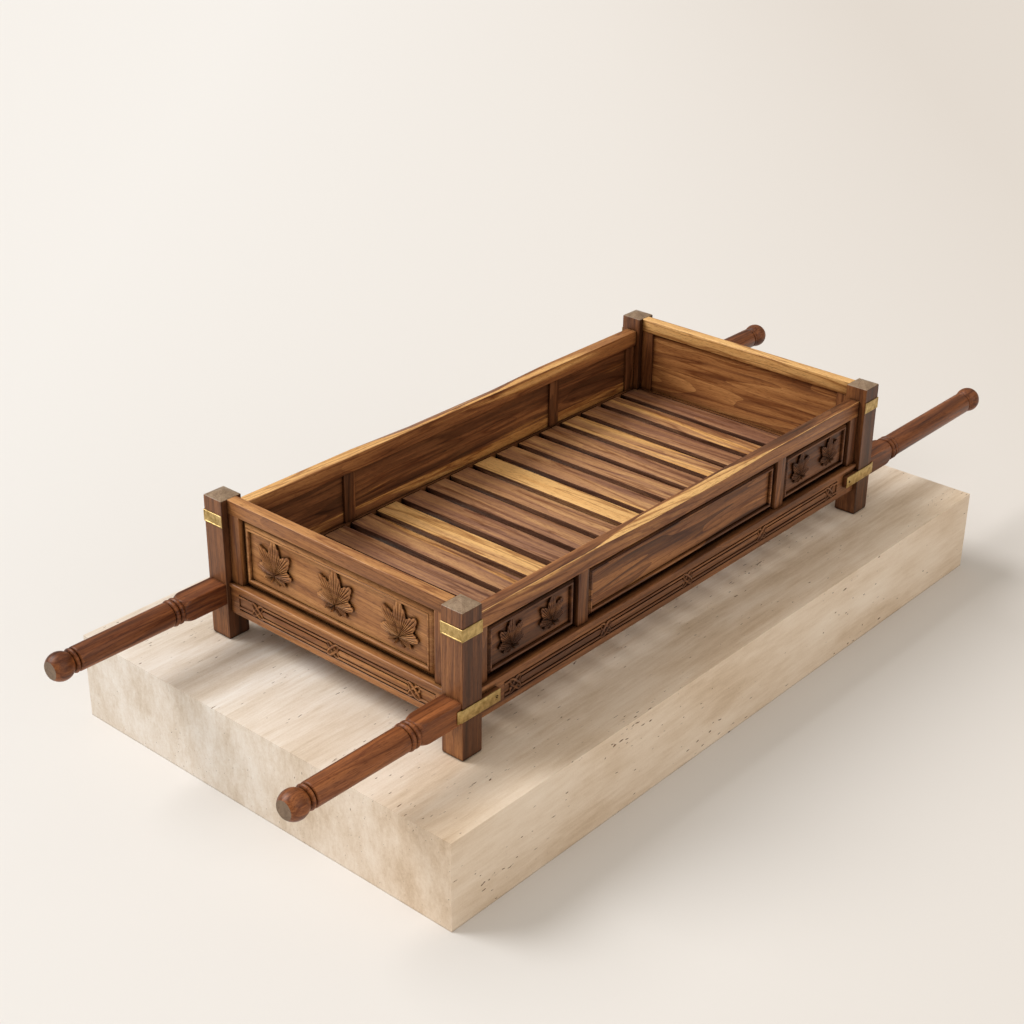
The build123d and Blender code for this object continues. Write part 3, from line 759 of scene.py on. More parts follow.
@dataclass
class Leaf:
    """A leaf carved on a panel: toothed lobes on radiating veins, with cut flutes and an upright edge."""

    height_mm: float
    edge_mm: float = 7.0
    crown_mm: float = 4.2
    flute_mm: float = 4.0
    sunk_mm: float = 0.8
    lip_mm: float = 1.4
    undercut: float = 0.97
    spokes: int = 288
    flutes: int = 3
    teeth: float = 2.5
    tooth: float = 0.07
    rings: tuple[float, ...] = (0.10, 0.22, 0.36, 0.50, 0.63, 0.74, 0.83, 0.90, 0.96, 1.0)
    # tip's angle, tip's reach, angle and reach of the notch below it, as parts of the leaf's height
    lobes: tuple[tuple[float, float, float, float], ...] = (
        (0, 0.80, 21, 0.46),
        (40, 0.70, 60, 0.40),
        (83, 0.50, 102, 0.27),
        (117, 0.36, 133, 0.15),
        (148, 0.25, 163, 0.09),
    )

    def side(self, angle: float) -> tuple[float, float]:
        """Edge of the leaf at an angle from its tip.

        Args:
            angle: degrees from the tip, either way.

        Returns:
            Reach there as part of the height, and how far from the lobe's vein to its notch it is.
        """
        turn = abs(angle)
        notch_before = None
        for tip_angle, tip, notch_angle, notch in self.lobes:
            if turn <= notch_angle:
                if turn >= tip_angle or notch_before is None:
                    share = (turn - tip_angle) / (notch_angle - tip_angle)
                    low = notch
                else:
                    share = (tip_angle - turn) / (tip_angle - notch_before[0])
                    low = notch_before[1]
                scallop = abs(math.sin(math.pi * self.teeth * share)) * math.sqrt(1 - share)
                return low + (tip - low) * (1 - share ** 0.9) + self.tooth * scallop * tip, share
            notch_before = (notch_angle, notch)
        return notch_before[1], 1.0

    def carve(self, mesh: bmesh.types.BMesh, place: Matrix) -> None:
        """Adds the leaf to a mesh.

        Args:
            mesh: mesh of the panel.
            place: frame with the veins' meeting point at its origin, y along the leaf and z out of the field.
        """
        loops: list[list[bmesh.types.BMVert]] = [[] for _ in range(len(self.rings) + 1)]
        for spoke in range(self.spokes):
            angle = 360 * spoke / self.spokes - 180
            reach, share = self.side(angle)
            ray = Vector((math.sin(math.radians(angle)), math.cos(math.radians(angle)), 0))
            groove = (1 - abs(math.sin(math.pi * self.flutes * share))) ** 1.5
            # the dome falls off towards the notches, and the flutes fade at the hub and before the edge
            for number, ring in enumerate(self.rings):
                dome = (1 - 0.8 * share ** 2) * math.sin(math.pi * min(ring * 0.62 + 0.18, 1.0))
                cut = groove * min(1.0, 4 * ring) * min(1.0, 6 * (1.03 - ring))
                high = self.edge_mm + self.crown_mm * dome - self.flute_mm * cut
                high -= self.lip_mm * max(0.0, (ring - 0.9) / 0.1)
                spot = ray * mm(reach * ring * self.height_mm) + Vector((0, 0, mm(high)))
                loops[number].append(mesh.verts.new(place @ spot))
            foot = ray * mm(self.undercut * reach * self.height_mm) + Vector((0, 0, -mm(self.sunk_mm)))
            loops[-1].append(mesh.verts.new(place @ foot))
        bridge(mesh, loops)
        hub = mesh.verts.new(place @ Vector((0, 0, mm(self.edge_mm))))
        for at in range(self.spokes):
            mesh.faces.new((loops[0][at - 1], loops[0][at], hub))
        mesh.faces.new(loops[-1][::-1])


@dataclass
class Strapwork:
    """Two ribbons sunk in a bottom rail's face, which run along it round long pads and cross in knots."""

    level_mm: float = 133.0
    spread_mm: float = 17.0
    knot_mm: float = 48.0
    lift_mm: float = 2.2
    widen: float = 2.3
    split_mm: float = 6.0
    step_mm: float = 3.0
    pad_half_mm: float = 9.0
    pad_stop_mm: Point = (17.0, 27.0)
    pad_soft_mm: float = 1.6
    # half a ribbon's section: distance from its middle, height
    section: tuple[Point, ...] = ((0.0, 4.5), (0.9, 4.5), (1.8, 4.4), (2.7, 4.0), (3.4, 2.8), (3.7, -0.5))

    def path(self, end: float, knots: Sequence[float], side: int) -> list[tuple[float, float, float]]:
        """Line of one ribbon.

        Args:
            end: half the length of the run.
            knots: places of the knots along it.
            side: 1 for the ribbon that starts above, -1 for the other.

        Returns:
            Points with the place along the rail, the offset from the middle and the share of a crossing.
        """
        points = []
        count = round(2 * end / self.step_mm)
        for at in range(count + 1):
            x = -end + 2 * end * at / count
            sign, crossing = side, 0.0
            # a crossing runs straight between two short level ends, and is at its fullest over its middle
            for knot in knots:
                share = (x - knot) / self.knot_mm + 0.5
                if share >= 1:
                    sign = -sign
                elif share > 0:
                    sign *= max(-1.0, min(1.0, 1.25 * (1 - 2 * share)))
                    crossing = min(1.0, 1.5 * math.sin(math.pi * share))
            points.append((x, sign * self.spread_mm, crossing))
        return points

    def lay(self, mesh: bmesh.types.BMesh, place: Matrix, ground: float, end: float,
            knots: Sequence[float]) -> None:
        """Adds both ribbons to a mesh.

        Args:
            mesh: mesh of the rail.
            place: the wall's frame.
            ground: local z of the sunk ground, in mm.
            end: half the length of the run.
            knots: places of the knots along it.
        """
        profile = [(-x, y) for x, y in self.section[:0:-1]] + list(self.section)
        for side in (1, -1):
            points = self.path(end, knots, side)
            loops = []
            for at, (x, y, crossing) in enumerate(points):
                first, last = points[max(at - 1, 0)], points[min(at + 1, len(points) - 1)]
                slope = math.atan2(last[1] - first[1], last[0] - first[0])
                wide = 1 + self.widen * crossing
                lift = self.lift_mm * crossing if side > 0 else 0.0
                dip = self.split_mm * crossing
                row = []
                for offset, high in profile:
                    rise = high + (lift if high > 0 else 0.0) - (dip if abs(offset) < 1 else 0.0)
                    up = self.level_mm + y + wide * offset * math.cos(slope)
                    row.append(vertex(mesh, place, x - wide * offset * math.sin(slope), up, ground + rise))
                loops.append(row)
            skin(mesh, loops)

    def lay_pads(self, mesh: bmesh.types.BMesh, place: Matrix, depths: Point, end: float,
                 knots: Sequence[float]) -> None:
        """Adds the long pads between the knots, pointed at both ends.

        Args:
            mesh: mesh of the rail.
            place: the wall's frame.
            depths: local z of the sunk ground and of the rail's face, in mm.
            end: half the length of the run.
            knots: places of the knots along it.
        """
        tip, flank = self.pad_stop_mm
        low, high = self.level_mm - self.pad_half_mm, self.level_mm + self.pad_half_mm
        stops = (-end, *knots, end)
        for left, right in zip(stops, stops[1:]):
            if right - left > 3 * flank:
                outline = [(left + tip, self.level_mm), (left + flank, low), (right - flank, low),
                           (right - tip, self.level_mm), (right - flank, high), (left + flank, high)]
                prism(mesh, outline, *depths, place, round_mm=self.pad_soft_mm)


@dataclass
class Wall:
    """An end or a side of the tray: two rails, uprights and carved panels between two posts."""

    tray: Tray
    name: str
    along: Vector
    span_mm: float
    top_mm: float
    rail_mm: float
    muntins: tuple[float, ...]
    knots: tuple[float, ...]
    top_rail_mm: float
    moulding_mm: float
    leaf_mm: float
    leaves: tuple[tuple[float, ...], ...]
    panel_names: tuple[str, ...]
    boards: dict[str, tuple[float, ...]]
    scooped: bool = False
    setback_mm: float = 22.0
    stile_mm: Point = (45.0, 34.0)
    base_mm: float = 88.0
    ledge_mm: float = 186.0
    face_mm: float = -14.0
    sunk_mm: float = 4.0
    sunk_half_mm: float = 25.0
    sunk_stop_mm: float = 35.0
    rail_depth_mm: float = 60.0
    # local z of the ledge's nose, and its height
    nose_mm: Point = (-10.0, 12.0)
    # ease of the open edges, and of those by the carving
    soft_mm: float = 1.4
    carved_soft_mm: float = 1.2
    # the top rail's lower arris, the last ease of its edges, and the ease of the straps' seats
    arris_mm: float = 1.0
    bevel_mm: float = 0.9
    seat_soft_mm: float = 0.8
    # how far the uprights run into the rails, and the pads into the sunk ground
    lap_mm: float = 1.0
    pad_lap_mm: float = 0.5
    # carved faces get stronger painted shade in their hollows
    carved_soot: Point = (0.28, 0.92)
    # length on the rail, height and level of the strap's seat
    strap_mm: Size = (70.0, 38.0, 144.0)
    core_mm: float = 12.0
    recess_mm: float = 14.0
    groove_mm: float = 9.0
    # the scoop's half lengths at its stops and at full depth, its width and its drop
    scoop_mm: tuple[float, float, float, float] = (440.0, 200.0, 30.0, 9.0)
    margin_mm: float = 4.0
    # the hollow round the moulding: its depth, where its inner wall's foot and top lie beyond the margin,
    # and how high that wall is
    trough_mm: float = 7.0
    trough_wall_mm: Size = (1.0, 2.0, 3.0)
    kerb_mm: float = 34.0
    # how far below the panel's middle a leaf's veins meet, as part of the leaf's height
    leaf_drop: float = 0.19
    # section of the moulding's roll: distance out from the field, height
    roll: tuple[Point, ...] = ((8.6, 8.0), (8.0, 6.6), (7.2, 6.8), (6.4, 9.2), (5.0, 10.2), (3.2, 10.4),
                               (1.4, 9.7), (0.3, 8.0), (0.0, 5.5), (-0.2, -2.6), (-2.0, -2.6), (-2.3, 0.0))

    @property
    def place(self) -> Matrix:
        """The wall's local frame."""
        return self.tray.wall_place(self.along)

    def walnut(self, piece: str, grain: Grain, **looks: object) -> bpy.types.Material:
        """Finish of one piece, with its own cut from the log.

        Args:
            piece: name of the piece.
            grain: which way its fibres run.
            looks: other settings of the finish.

        Returns:
            The material.
        """
        name = f"{self.name}_{piece}"
        seed = sum(ord(letter) * (at + 3) for at, letter in enumerate(name)) % 97
        board = OiledWalnut(f"oiled_walnut_{name}", grain, seed, *self.boards[piece])
        return replace(board, **looks).material()

    @property
    def grain(self) -> Grain:
        """Grain of the pieces that run along the wall."""
        return Grain.ALONG_X if abs(self.along.x) > 0.5 else Grain.ALONG_Y

    def build(self) -> None:
        """Builds and dresses the wall's pieces."""
        self.build_top_rail()
        self.build_bottom_rail()
        self.build_uprights()
        self.build_panels()

    def build_top_rail(self) -> None:
        """Top rail with eased edges, and a long stopped chamfer on a side's."""
        mesh = bmesh.new()
        half, front = self.span_mm / 2, -self.setback_mm
        back, low = front - self.rail_mm, self.top_mm - self.top_rail_mm
        stop, flat, wide, drop = self.scoop_mm
        soft = self.soft_mm
        stations = [(-half, 0.0), (half, 0.0)]
        if self.scooped:
            stations = [(-half, 0.0), (-stop, 0.0), (-flat, 1.0), (flat, 1.0), (stop, 0.0), (half, 0.0)]
        loops = []
        for x, share in stations:
            in_by, down_by = soft + share * (wide - soft), soft + share * (drop - soft)
            section = [(back, low), (back, self.top_mm - soft), (back + soft, self.top_mm),
                       (front - in_by, self.top_mm), (front, self.top_mm - down_by),
                       (front, low + self.arris_mm), (front - self.arris_mm, low)]
            loops.append([vertex(mesh, self.place, x, y, z) for z, y in section])
        skin(mesh, loops)
        bmesh.ops.recalc_face_normals(mesh, faces=mesh.faces)
        ease(mesh, list(mesh.faces), mm(self.bevel_mm))
        across = self.place.to_3x3().inverted()
        # faces that look up get a finish of their own, toned apart from the other faces as painted light and
        # shade on the board's top, and those that also lean out are the chamfer, whose finish is partly
        # sapwood and partly painted light
        for face in mesh.faces:
            _, up, out = across @ face.normal
            face.material_index = int(up > FACING) + int(self.scooped and up > FACING and out > 0.12)
        finishes = [self.walnut(board, self.grain) for board in ("top_rail", "top_rail_top", "top_rail_scoop")
                    if board in self.boards]
        show(f"{self.name}_top_rail_oiled", mesh, finishes, [f"{self.name}_top_rail"])

    def build_bottom_rail(self) -> None:
        """Bottom rail with a moulded ledge and ribbons in a sunk ground."""
        mesh = bmesh.new()
        half, ground = self.span_mm / 2, self.face_mm - self.sunk_mm
        nose, tall = self.nose_mm
        soft, round_over = self.carved_soft_mm, self.soft_mm
        under = self.ledge_mm - tall
        section = [(-self.rail_depth_mm, self.base_mm), (ground, self.base_mm), (ground, under),
                   (nose - soft, under), (nose, under + soft), (nose, self.ledge_mm - round_over),
                   (nose - round_over, self.ledge_mm), (-self.rail_depth_mm, self.ledge_mm)]
        across = self.place @ Matrix(((0, 0, 1, 0), (0, 1, 0, 0), (1, 0, 0, 0), (0, 0, 0, 1)))
        prism(mesh, section, -half, half, across)
        end = half - self.sunk_stop_mm - (self.strap_mm[0] if self.scooped else 0)
        work = Strapwork()
        sunk = rectangle((-end, end), (work.level_mm - self.sunk_half_mm, work.level_mm + self.sunk_half_mm))
        outer = rectangle((-half, half), (self.base_mm, under))
        rings = [(outer, 0.0, ground), (outer, 0.0, self.face_mm - soft), (outer, soft, self.face_mm),
                 (sunk, -soft, self.face_mm), (sunk, 0.0, self.face_mm - soft), (sunk, 0.0, ground)]
        loops = []
        for corners, inset, z in rings:
            (left, low), (right, high) = corners[0], corners[2]
            ring = rectangle((left + inset, right - inset), (low + inset, high - inset))
            loops.append([vertex(mesh, self.place, x, y, z) for x, y in ring])
        bridge(mesh, loops + loops[:1])
        work.lay(mesh, self.place, ground, end, self.knots)
        work.lay_pads(mesh, self.place, (ground - self.pad_lap_mm, self.face_mm), end, self.knots)
        if self.scooped:
            length, tall, level = self.strap_mm
            for start in (-half, half - length):
                seat = rectangle((start, start + length), (level - tall / 2, level + tall / 2))
                prism(mesh, seat, ground, 0.0, self.place, round_mm=self.seat_soft_mm)
        finish = self.walnut("bottom_rail", self.grain, soot=self.carved_soot)
        show(f"{self.name}_bottom_rail_carved", mesh, (finish,), [f"{self.name}_bottom_rail"],
             crease_deg=32)

    def upright_places(self) -> list[float]:
        """Middles of the stiles and muntins along the wall."""
        edge = (self.span_mm - self.stile_mm[0]) / 2
        return [-edge, *self.muntins, edge]

    def build_uprights(self) -> None:
        """Stiles at the posts and muntins between the panels."""
        mesh = bmesh.new()
        wide, thick = self.stile_mm
        rise = (self.ledge_mm - self.lap_mm, self.top_mm - self.top_rail_mm + self.lap_mm)
        for middle in self.upright_places():
            prism(mesh, rectangle((middle - wide / 2, middle + wide / 2), rise),
                  -self.setback_mm - thick, -self.setback_mm, self.place, round_mm=self.soft_mm)
        show(f"{self.name}_stiles_oiled", mesh, (self.walnut("stiles", Grain.ALONG_Z),),
             [f"{self.name}_stiles"])

    def build_panels(self) -> None:
        """Panels with a moulding round the field and leaves carved on it."""
        places = self.upright_places()
        face = -self.setback_mm - self.recess_mm
        low, high = self.ledge_mm, self.top_mm - self.top_rail_mm
        carving = Leaf(self.leaf_mm)
        inner = self.margin_mm + self.moulding_mm
        kerb = [self.walnut("kerb", self.grain)] if self.scooped else []
        for left, right, leaves, name in zip(places, places[1:], self.leaves, self.panel_names):
            mesh = bmesh.new()
            opening = (left + self.stile_mm[0] / 2, right - self.stile_mm[0] / 2)
            foot, top, tall = self.trough_wall_mm
            rows = [(-self.groove_mm, -self.core_mm), (-self.groove_mm, -self.trough_mm),
                    (self.margin_mm + foot, -self.trough_mm), (self.margin_mm + top, tall - self.trough_mm)]
            rows += [(inner - out, rise) for out, rise in self.roll]
            loops = []
            for inset, rise in rows:
                ring = rectangle((opening[0] + inset, opening[1] - inset), (low + inset, high - inset))
                loops.append([vertex(mesh, self.place, x, y, face + rise) for x, y in ring])
            skin(mesh, loops)
            finishes = [self.walnut(name, self.grain, soot=self.carved_soot), *kerb]
            if kerb:
                self.mark_kerb(mesh, low + self.kerb_mm)
            root = (low + high) / 2 - self.leaf_drop * self.leaf_mm
            for leaf in leaves:
                spot = Vector((mm((opening[0] + opening[1]) / 2 + leaf), mm(root), mm(face)))
                carving.carve(mesh, self.place @ Matrix.Translation(spot))
            show(f"{self.name}_{name}_carved", mesh, finishes, [f"{self.name}_{name}"],
                 crease_deg=50)

    def mark_kerb(self, mesh: bmesh.types.BMesh, top: float) -> None:
        """Marks the golden sapwood strip along the foot of a panel's inner face.

        Args:
            mesh: mesh of the panel, before its leaves.
            top: height of the strip's upper edge in mm.
        """
        bmesh.ops.bisect_plane(mesh, geom=[*mesh.verts, *mesh.edges, *mesh.faces],
                               plane_co=self.place @ Vector((0, mm(top), 0)), plane_no=(0, 0, 1))
        bmesh.ops.recalc_face_normals(mesh, faces=mesh.faces)
        inward = -self.place.col[2].to_3d()
        for face in mesh.faces:
            height = (self.place.inverted() @ face.calc_center_median()).y
            face.material_index = int(face.normal.dot(inward) > 0.9 and height < mm(top))


@dataclass
class Posts:
    """Four square posts with low pyramid tops and eased feet."""

    shoulder_mm: float = 450.0
    rise_mm: float = 14.0
    foot_mm: float = 3.0
    soft_mm: float = 1.5
    tones: tuple[float, ...] = (0.0, -0.02, -0.06, -0.10)
    # the faces that look along Y get a darker copy of the finish as painted shade
    painted_y_face_shade: float = 0.22

    def build(self) -> None:
        """Builds and dresses the posts."""
        for number, (corner, tone) in enumerate(zip(CORNERS, self.tones)):
            low, high = (Vector(edge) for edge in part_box(f"post_{corner}"))
            middle = (low + high) / 2
            half = (high.x - low.x) / 2
            mesh = bmesh.new()
            loops = []
            for inset, level in ((self.foot_mm, 0.0), (0.0, self.foot_mm), (0.0, self.shoulder_mm)):
                reach = half - mm(inset)
                loops.append([mesh.verts.new((middle.x + x * reach, middle.y + y * reach, low.z + mm(level)))
                              for x, y in ((-1, -1), (1, -1), (1, 1), (-1, 1))])
            bridge(mesh, loops)
            mesh.faces.new(loops[0][::-1])
            apex = mesh.verts.new((middle.x, middle.y, low.z + mm(self.shoulder_mm + self.rise_mm)))
            for at in range(4):
                mesh.faces.new((loops[-1][at - 1], loops[-1][at], apex))
            bmesh.ops.recalc_face_normals(mesh, faces=mesh.faces)
            ease(mesh, list(mesh.faces), mm(self.soft_mm))
            # painted shade: faces that look along Y get the darker copy of the finish, the pyramid's faces
            # get the end grain
            for face in mesh.faces:
                face.material_index = 2 * int(abs(face.normal.y) > FACING)
                if face.calc_center_median().z > low.z + mm(self.shoulder_mm - 0.1):
                    face.material_index = 1
            finish = OiledWalnut(f"oiled_walnut_post_{corner}", Grain.ALONG_Z, 14 + 7 * number, tone,
                                 figure=0.4, band_mm=(18.0, 900.0), streak_mm=(3.2, 360.0), bend_by_mm=12.0)
            darker_cut = replace(finish, name=f"{finish.name}_shaded_y_faces", tone=tone - self.painted_y_face_shade)
            cuts = [cut.material() for cut in (finish, finish.end_grain(), darker_cut)]
            show(f"post_{corner}_oiled", mesh, cuts, [f"post_{corner}"], crease_deg=12)


@dataclass
class Handles:
    """Four turned handles, each with a square block, beads, a barrel and a ball with a flat end."""

    block_mm: float = 68.0
    arris_mm: float = 46.4
    block_length_mm: float = 150.0
    shoulder_mm: float = 34.0
    neck_mm: float = 64.0
    bead_mm: Point = (81.0, 17.0)
    barrel_mm: Point = (75.0, 73.0)
    barrel_ease_mm: Point = (7.0, 6.0)
    collar_mm: float = 14.0
    throat_mm: float = 54.0
    ball_mm: float = 84.0
    disc_mm: float = 54.0
    spokes: int = 96
    # powers that shape the beads, the barrel and collar, and the hollow run of the block's corners
    bead_power: float = 0.6
    barrel_power: float = 0.7
    corner_power: float = 2.2
    tones: tuple[float, ...] = (-0.04, -0.06, -0.10, -0.08)
    disc_darker: float = 0.3
    # rubbed by hands, so redder and less glossy than the walls
    colours: tuple[str, ...] = ("#3A1F0F", "#61351C", "#8C522C", "#AA693A", "#C8854C")

    def turning(self, length: float) -> list[Point]:
        """Section of the turned length, as places along the axis and radii.

        Args:
            length: the handle's length in mm.

        Returns:
            Points from the block's end to the edge of the ball's flat.
        """
        neck, bead, wide = self.neck_mm / 2, self.bead_mm[0] / 2, self.bead_mm[1]
        start, end = (size / 2 for size in self.barrel_mm)
        rise, fall = self.barrel_ease_mm
        throat, ball, disc = self.throat_mm / 2, self.ball_mm / 2, self.disc_mm / 2
        ball_middle = length - math.sqrt(ball ** 2 - disc ** 2)
        ball_start = ball_middle - math.sqrt(ball ** 2 - throat ** 2)
        barrel_start = self.block_length_mm + 2 * wide
        barrel_end = ball_start - self.collar_mm
        points = []
        for at in (self.block_length_mm, self.block_length_mm + wide):
            points += [(at + wide * step / 8,
                        neck + (bead - neck) * math.sin(math.pi * step / 8) ** self.bead_power)
                       for step in range(8)]
        swell = [math.sin(math.pi * step / 8) ** self.barrel_power for step in range(8)]
        points += [(barrel_start + rise * step / 4, neck + (start - neck) * swell[step]) for step in range(5)]
        points += [(barrel_end - fall + fall * step / 4,
                    throat + (end - throat) * math.cos(math.pi * step / 8) ** self.barrel_power)
                   for step in range(5)]
        points += [(barrel_end + self.collar_mm * step / 8, throat + (end - throat) * swell[step])
                   for step in range(1, 8)]
        first, last = math.atan2(throat, ball_start - ball_middle), math.atan2(disc, length - ball_middle)
        points += [(ball_middle + ball * math.cos(first + (last - first) * step / 18),
                    ball * math.sin(first + (last - first) * step / 18)) for step in range(19)]
        return points

    def build(self) -> None:
        """Builds and dresses the handles."""
        for number, ((corner, (sign, _)), tone) in enumerate(zip(CORNERS.items(), self.tones)):
            low, high = (Vector(edge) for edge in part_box(f"handle_{corner}"))
            post_low, post_high = (Vector(edge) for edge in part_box(f"post_{corner}"))
            start = post_high.x if sign > 0 else post_low.x
            tip = high.x if sign > 0 else low.x
            axis = Vector((0, (low.y + high.y) / 2, (low.z + high.z) / 2))
            turned = self.turning(1000 * abs(tip - start))
            stations = self.block() + [(x, radius, False) for x, radius in turned]
            mesh = bmesh.new()
            loops = [[mesh.verts.new(axis + Vector((start + sign * mm(x), *self.spot(spoke, radius, square))))
                      for spoke in range(self.spokes)] for x, radius, square in stations]
            skin(mesh, loops).material_index = 1
            finish = OiledWalnut(f"oiled_walnut_handle_{corner}", Grain.ALONG_X, 31 + 5 * number, tone,
                                 figure=0.8, sheen=0.28, colours=self.colours)
            disc = replace(finish.end_grain(), tone=tone - self.disc_darker)
            show(f"handle_{corner}_turned", mesh, (finish.material(), disc.material()),
                 [f"handle_{corner}"], crease_deg=34)

    def block(self) -> list[tuple[float, float, bool]]:
        """Stations of the square block, whose corners run out in a hollow curve.

        Returns:
            Places along the axis, radii and whether the flat sides cut them.
        """
        run = self.block_length_mm - self.shoulder_mm
        neck = self.neck_mm / 2
        rows = [(0.0, self.arris_mm, True), (run, self.arris_mm, True)]
        for step in range(1, 11):
            share = step / 10
            radius = neck + (self.arris_mm - neck) * (1 - share ** self.corner_power)
            rows.append((run + self.shoulder_mm * share, radius, True))
        return rows

    def spot(self, spoke: int, radius: float, square: bool) -> Point:
        """Point of a section, in metres across the axis.

        Args:
            spoke: number of the point round the section.
            radius: radius in mm.
            square: whether the block's flat sides cut it.

        Returns:
            Offsets along Y and Z.
        """
        angle = math.tau * spoke / self.spokes
        if square:
            radius = min(radius, self.block_mm / 2 / max(abs(math.cos(angle)), abs(math.sin(angle))))
        return mm(radius) * math.cos(angle), mm(radius) * math.sin(angle)


@dataclass
class BrassCorners:
    """Bands round the posts' tops and straps over the posts onto the handles, in sheet brass."""

    tray: Tray
    band_mm: float = 2.5
    # depth between a band's rims, their width and their ease, and the round of the band's bend
    rim_mm: Size = (1.0, 4.0, 0.6)
    bend_mm: float = 1.2
    strap_level_mm: float = 144.0
    strap_half_mm: float = 19.0
    strap_on_rail_mm: float = 70.0
    strap_on_handle_mm: float = 18.0
    strap_mm: float = 3.0
    strap_soft_mm: float = 0.5
    joggle_mm: float = 8.0
    inset_mm: float = 3.5
    # the head's width and height, its place in from the strap's end, its slot's turn and half its opening
    screw_mm: Point = (9.0, 1.4)
    screw_in_mm: float = 14.0
    slot_turn: float = 0.6
    slot_half_deg: float = 14.0
    screw_sunk_mm: float = 0.4
    screw_soft_mm: float = 0.35

    def build(self) -> None:
        """Builds and dresses the bands and straps."""
        brass = AgedBrass().material()
        dark = AgedBrass("blackened_brass", bright="#6A5236", dull="#3A2B1C").material()
        for corner, (x_sign, y_sign) in CORNERS.items():
            self.build_band(corner, x_sign, y_sign, brass)
            self.build_strap(corner, x_sign, y_sign, brass, dark)

    def build_band(self, corner: str, x_sign: int, y_sign: int, brass: bpy.types.Material) -> None:
        """Bent band with a raised rim along both edges.

        Args:
            corner: name of the corner.
            x_sign: side of the tray along X.
            y_sign: side of the tray along Y.
            brass: the finish.
        """
        low, high = (Vector(edge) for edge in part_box(f"corner_band_{corner}"))
        tall = 1000 * (high.z - low.z)
        edge_x = high.x if x_sign > 0 else low.x
        edge_y = high.y if y_sign > 0 else low.y
        far_x = low.x if x_sign > 0 else high.x
        far_y = low.y if y_sign > 0 else high.y
        rim, lip, soft = self.rim_mm
        profile = [(self.band_mm, 0.0), (soft, 0.0), (0.0, soft), (0.0, lip - soft), (rim, lip),
                   (rim, tall - lip), (0.0, tall - lip + soft), (0.0, tall - soft), (soft, tall),
                   (self.band_mm, tall)]
        leg = 1000 * abs(edge_x - far_x)
        steps = ((0.0, 0.0), (lip, 0.0), (lip + soft, 1.0), (leg - lip - soft, 1.0), (leg - lip, 0.0),
                 (leg - self.bend_mm, 0.0))
        mesh = bmesh.new()
        loops: list[list[bmesh.types.BMVert]] = []
        for on_side, stations in ((True, steps), (False, steps[::-1])):
            for along, sunk in stations:
                loops.append([])
                for deep, level in profile:
                    run = mm(along if deep < self.band_mm else min(along, leg - deep))
                    inward = mm(deep * sunk if deep == rim else deep)
                    x = far_x + x_sign * run if on_side else edge_x - x_sign * inward
                    y = edge_y - y_sign * inward if on_side else far_y + y_sign * run
                    loops[-1].append(mesh.verts.new((x, y, low.z + mm(level))))
        skin(mesh, loops)
        show(f"corner_band_{corner}_rimmed", mesh, (brass,), [f"corner_band_{corner}"],
             crease_deg=25)

    def build_strap(self, corner: str, x_sign: int, y_sign: int, brass: bpy.types.Material,
                    dark: bpy.types.Material) -> None:
        """Strap stepped from the post down to the handle's block, held by a slotted screw.

        Args:
            corner: name of the corner.
            x_sign: side of the tray along X.
            y_sign: side of the tray along Y.
            brass: the strap's finish.
            dark: the screw's finish.
        """
        end, face = self.tray.length_mm / 2, self.tray.width_mm / 2
        low, thick = face - self.inset_mm, self.strap_mm
        start = end - self.tray.post_mm - self.strap_on_rail_mm
        finish = end + self.strap_on_handle_mm
        step = end + thick
        outline = [(start, face), (end, face), (end, low), (finish, low), (finish, low + thick),
                   (step + self.joggle_mm - thick, low + thick), (step, face + thick), (start, face + thick)]
        place = Matrix.Translation(self.tray.middle) @ Matrix.Diagonal((x_sign, y_sign, 1, 1))
        mesh = bmesh.new()
        bottom, top = (self.strap_level_mm + side * self.strap_half_mm for side in (-1, 1))
        prism(mesh, outline, bottom, top, place, round_mm=self.strap_soft_mm)
        show(f"corner_strap_{corner}_screwed", mesh, (brass,), [f"corner_strap_{corner}"],
             crease_deg=28)
        screw = bmesh.new()
        spot = Vector((start + self.screw_in_mm, face + thick, self.strap_level_mm)) / 1000
        self.add_screw(screw, place @ Matrix.Translation(spot))
        show(f"strap_screw_{corner}_slotted", screw, (dark,), crease_deg=28)

    def add_screw(self, mesh: bmesh.types.BMesh, place: Matrix) -> None:
        """Adds a round screw head with a sawn slot, proud of a face that looks along Y.

        Args:
            mesh: mesh of the screw.
            place: middle of the head on the strap's face.
        """
        radius, high = self.screw_mm[0] / 2, self.screw_mm[1]
        for side in (1, -1):
            sweep = 180 - 2 * self.slot_half_deg
            arc = [math.radians(self.slot_half_deg + sweep * step / 10) for step in range(11)]
            outline = [(radius * math.cos(angle), side * radius * math.sin(angle)) for angle in arc]
            turned = place @ Matrix(((1, 0, 0, 0), (0, 0, 1, 0), (0, 1, 0, 0), (0, 0, 0, 1)))
            prism(mesh, outline, -self.screw_sunk_mm, high, turned @ Matrix.Rotation(self.slot_turn, 4, "Z"),
                  round_mm=self.screw_soft_mm)


